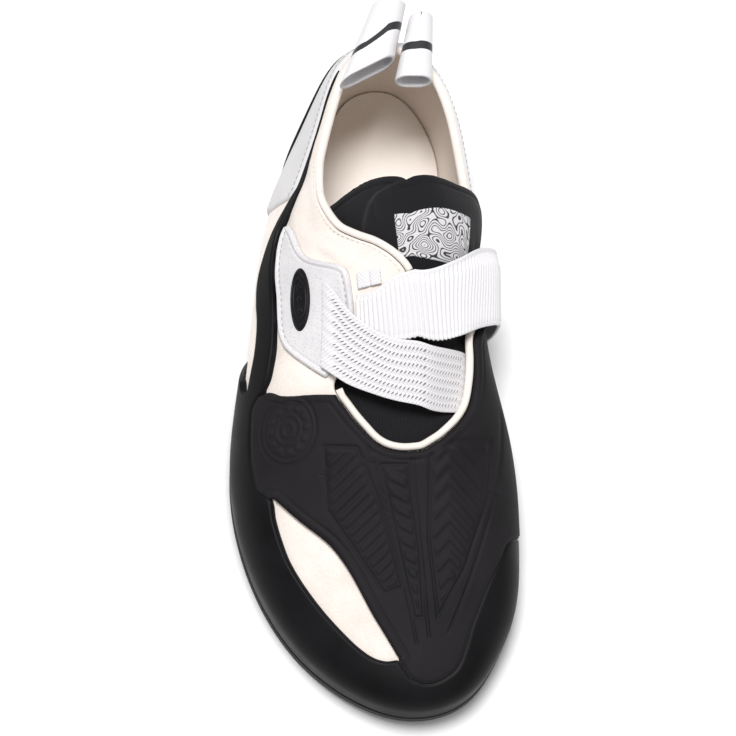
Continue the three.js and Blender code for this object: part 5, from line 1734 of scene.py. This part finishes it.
def build_stitches(sizes):
    panel = edge_stitches(
        -0.50, 0.345, 400, lambda u: side_line(PANEL_TOP, u), -PANEL_INSET, LAYER_GAP + PANEL_THICKNESS)
    sew("panel_stitches", [panel], "grey_thread", sizes, "grey_synthetic")
    pressed = FIT_GAP + TAB_THICKNESS - 0.3
    high = edge_stitches(0.392, 0.546, 200, lambda u: read(TAB, "high", u), -TAB_INSET, pressed)
    low = edge_stitches(0.394, 0.5, 160, lambda u: read(TAB, "low", u), TAB_INSET, pressed)
    sew("tab_stitches", [high, low], "grey_thread", sizes, "grey_synthetic")
    collar = edge_stitches(-0.40, 0.345, 460, opening_edge, -COLLAR_INSET, 0.15)
    flap = edge_stitches(0.375, 0.466, 160, opening_edge, -FLAP_INSET, 0.0)
    sew("collar_stitches", [collar, flap], "pale_thread", sizes, "cream_fabric")
    s = np.linspace(0, 1, WOVEN_STATIONS)
    height = read(WOVEN, "under", s) + STRAP_THICKNESS - 0.05
    rows = [crest_line(*strap_place(WOVEN)(s, np.full(s.shape, w)), height) for w in STROKE_ROWS]
    rows = [(eased(line, WOVEN_EASE), lift) for line, lift in rows]
    for name, thread, part in (
        ("woven_strap_stitches", "slate_thread", STROKES_DARK),
        ("woven_strap_faded_stitches", "grey_thread", STROKES_FADED),
    ):
        lines = [(line[part], lift[part]) for line, lift in rows]
        sew(name, lines, thread, sizes, "strip_webbing", slant=1.0, shares=(0.6, 0.95, 0.85))


# Studio
# The camera, in millimetres: its distance from its first target, its angle above the floor, that
# target, and the middle of the frame
CAMERA_RANGE = 1000
CAMERA_ELEVATION = math.radians(67)
PHOTO_TARGET = (-76.7, 69.5, 20)
FRAME_CENTRE = (-5.5, 66.5, 20)
LENS = 136


def build_camera():
    """A camera at the photograph's place, turned to the shoe without rolling."""
    back = Vector((0, -math.cos(CAMERA_ELEVATION), math.sin(CAMERA_ELEVATION)))
    eye = (Vector(PHOTO_TARGET) + back * CAMERA_RANGE) * MM
    photo_up = Vector((0, math.sin(CAMERA_ELEVATION), math.cos(CAMERA_ELEVATION)))
    ahead = (Vector(FRAME_CENTRE) * MM - eye).normalized()
    right = ahead.cross(photo_up).normalized()
    up = right.cross(ahead)
    data = bpy.data.cameras.new("studio_camera")
    data.lens = LENS
    data.sensor_width = 36
    data.clip_start = 0.05
    turn = Matrix((right, up, -ahead)).transposed()
    camera = linked("studio_camera", data)
    camera.matrix_world = Matrix.Translation(eye) @ turn.to_4x4()
    bpy.context.scene.camera = camera


def area_light(name, place, target, size, power):
    data = bpy.data.lights.new(name, "AREA")
    data.shape = "DISK"
    data.size = size
    data.energy = power
    light = linked(name, data)
    light.location = place
    light.rotation_euler = (Vector(target) - Vector(place)).to_track_quat("-Z", "Y").to_euler()


# In metres and watts
FLOOR_HALF = 3.0
LIGHT_TARGET = (0, 0.07, 0.03)
SOFTBOXES = (
    ("overhead_softbox", (-0.12, 0.12, 1.42), 0.5, 19),
    ("front_softbox", (0.5, -0.9, 0.9), 0.8, 1),
)


def build_stage(sizes):
    mesh = bpy.data.meshes.new("studio_floor")
    corners = [(x * FLOOR_HALF, y * FLOOR_HALF, 0) for x, y in ((-1, -1), (1, -1), (1, 1), (-1, 1))]
    mesh.from_pydata(corners, [], [(0, 1, 2, 3)])
    mesh.materials.append(MATERIALS["floor"])
    linked("studio_floor", mesh)
    world = bpy.data.worlds.new("studio_world")
    world.use_nodes = True
    background = world.node_tree.nodes["Background"]
    background.inputs["Color"].default_value = (1, 1, 1, 1)
    background.inputs["Strength"].default_value = sizes.fill_light
    bpy.context.scene.world = world
    bpy.context.scene.view_settings.view_transform = "Standard"
    for name, place, size, power in SOFTBOXES:
        area_light(name, place, LIGHT_TARGET, size, power)
    build_camera()


# Add-on: settings, operators and panel
class ShoeColours(bpy.types.PropertyGroup):
    rubber: bpy.props.StringProperty(
        name="Rubber", description="Sole and rand colour, sRGB hex", default="#0c0b0d")
    patch: bpy.props.StringProperty(
        name="Toe patch", description="Toe patch colour, sRGB hex", default="#1b191b")
    upper: bpy.props.StringProperty(
        name="Microfibre", description="Upper colour, sRGB hex", default="#f1e9e2")
    lining: bpy.props.StringProperty(
        name="Lining", description="Lining colour, sRGB hex", default="#f6ece3")
    tab: bpy.props.StringProperty(
        name="Strap tab", description="Tab colour, sRGB hex", default="#dcdadb")
    webbing: bpy.props.StringProperty(
        name="Webbing", description="Strap colour, sRGB hex", default="#e9e7e9")


class ShoeSizes(bpy.types.PropertyGroup):
    stitch_pitch: bpy.props.FloatProperty(
        name="Stitch pitch", description="Distance between stitches", default=2.3 * MM, unit="LENGTH")
    stitch_length: bpy.props.FloatProperty(
        name="Stitch length", description="Length of one stitch", default=1.7 * MM, unit="LENGTH")
    thread_width: bpy.props.FloatProperty(
        name="Thread width", description="Width of the sewing thread", default=0.5 * MM, unit="LENGTH")
    rib_pitch: bpy.props.FloatProperty(
        name="Rib pitch", description="Distance between the strap's ribs", default=1.7 * MM, unit="LENGTH")
    rib_height: bpy.props.FloatProperty(
        name="Rib height", description="Half the height of the strap's ribs", default=0.3 * MM,
        unit="LENGTH")
    fill_light: bpy.props.FloatProperty(
        name="Fill light", description="Strength of the studio's even light", default=0.40)


class SHOE_OT_materials(bpy.types.Operator):
    """Make every finish of the shoe"""
    bl_idname = "shoe.materials"
    bl_label = "Materials"
    bl_options = {"REGISTER", "UNDO"}

    def execute(self, context):
        make_materials(context.scene.shoe_colours)
        return {"FINISHED"}


class SHOE_OT_sole(bpy.types.Operator):
    """Build the outsole and the insole"""
    bl_idname = "shoe.sole"
    bl_label = "Sole"
    bl_options = {"REGISTER", "UNDO"}

    def execute(self, context):
        build_outsole()
        build_insole()
        return {"FINISHED"}


class SHOE_OT_upper(bpy.types.Operator):
    """Build the upper and the piping of its edges"""
    bl_idname = "shoe.upper"
    bl_label = "Upper"
    bl_options = {"REGISTER", "UNDO"}

    def execute(self, context):
        build_upper()
        build_bindings()
        return {"FINISHED"}


class SHOE_OT_rubber(bpy.types.Operator):
    """Build the rand, the band, the heel cap and the toe patch"""
    bl_idname = "shoe.rubber"
    bl_label = "Rubber"
    bl_options = {"REGISTER", "UNDO"}

    def execute(self, context):
        build_rand()
        build_band()
        build_heel_cap()
        build_patch()
        return {"FINISHED"}


class SHOE_OT_panels(bpy.types.Operator):
    """Build the heel panel, the strap tab and its badge"""
    bl_idname = "shoe.panels"
    bl_label = "Panels"
    bl_options = {"REGISTER", "UNDO"}

    def execute(self, context):
        build_panel()
        build_tab()
        build_badge()
        return {"FINISHED"}


class SHOE_OT_tongue(bpy.types.Operator):
    """Build the tongue and its label"""
    bl_idname = "shoe.tongue"
    bl_label = "Tongue"
    bl_options = {"REGISTER", "UNDO"}

    def execute(self, context):
        build_tongue()
        build_label()
        return {"FINISHED"}


class SHOE_OT_straps(bpy.types.Operator):
    """Build both straps, their keeper and their anchor"""
    bl_idname = "shoe.straps"
    bl_label = "Straps"
    bl_options = {"REGISTER", "UNDO"}

    def execute(self, context):
        build_ribbed_strap(context.scene.shoe_sizes)
        build_woven_strap()
        build_keeper_and_anchor()
        return {"FINISHED"}


class SHOE_OT_loops(bpy.types.Operator):
    """Build the two pull loops"""
    bl_idname = "shoe.loops"
    bl_label = "Pull loops"
    bl_options = {"REGISTER", "UNDO"}

    def execute(self, context):
        for side, loop in LOOPS.items():
            build_loop(side, loop)
        return {"FINISHED"}


class SHOE_OT_stitches(bpy.types.Operator):
    """Sew the panels, the tab, the collar and the woven strap"""
    bl_idname = "shoe.stitches"
    bl_label = "Stitches"
    bl_options = {"REGISTER", "UNDO"}

    def execute(self, context):
        build_stitches(context.scene.shoe_sizes)
        return {"FINISHED"}


class SHOE_OT_stage(bpy.types.Operator):
    """Build the floor, the lights and the camera"""
    bl_idname = "shoe.stage"
    bl_label = "Stage"
    bl_options = {"REGISTER", "UNDO"}

    def execute(self, context):
        build_stage(context.scene.shoe_sizes)
        return {"FINISHED"}


STEPS = (
    "materials", "sole", "upper", "rubber", "panels", "tongue", "straps", "loops", "stitches", "stage",
)


class SHOE_PT_panel(bpy.types.Panel):
    """Lists the shoe's settings and steps"""
    bl_idname = "SHOE_PT_panel"
    bl_label = "Climbing Shoe"
    bl_space_type = "VIEW_3D"
    bl_region_type = "UI"
    bl_category = "Climbing Shoe"

    def draw(self, context):
        for settings in (context.scene.shoe_colours, context.scene.shoe_sizes):
            for name in settings.__annotations__:
                self.layout.prop(settings, name)
        for step in STEPS:
            self.layout.operator(f"shoe.{step}")


CLASSES = (
    ShoeColours, ShoeSizes, SHOE_OT_materials, SHOE_OT_sole, SHOE_OT_upper, SHOE_OT_rubber,
    SHOE_OT_panels, SHOE_OT_tongue, SHOE_OT_straps, SHOE_OT_loops, SHOE_OT_stitches, SHOE_OT_stage,
    SHOE_PT_panel,
)


def register():
    for cls in CLASSES:
        bpy.utils.register_class(cls)
    bpy.types.Scene.shoe_colours = bpy.props.PointerProperty(type=ShoeColours)
    bpy.types.Scene.shoe_sizes = bpy.props.PointerProperty(type=ShoeSizes)


def unregister():
    del bpy.types.Scene.shoe_sizes
    del bpy.types.Scene.shoe_colours
    for cls in reversed(CLASSES):
        bpy.utils.unregister_class(cls)


def main():
    register()
    for step in STEPS:
        getattr(bpy.ops.shoe, step)()


if __name__ == "__main__":
    main()
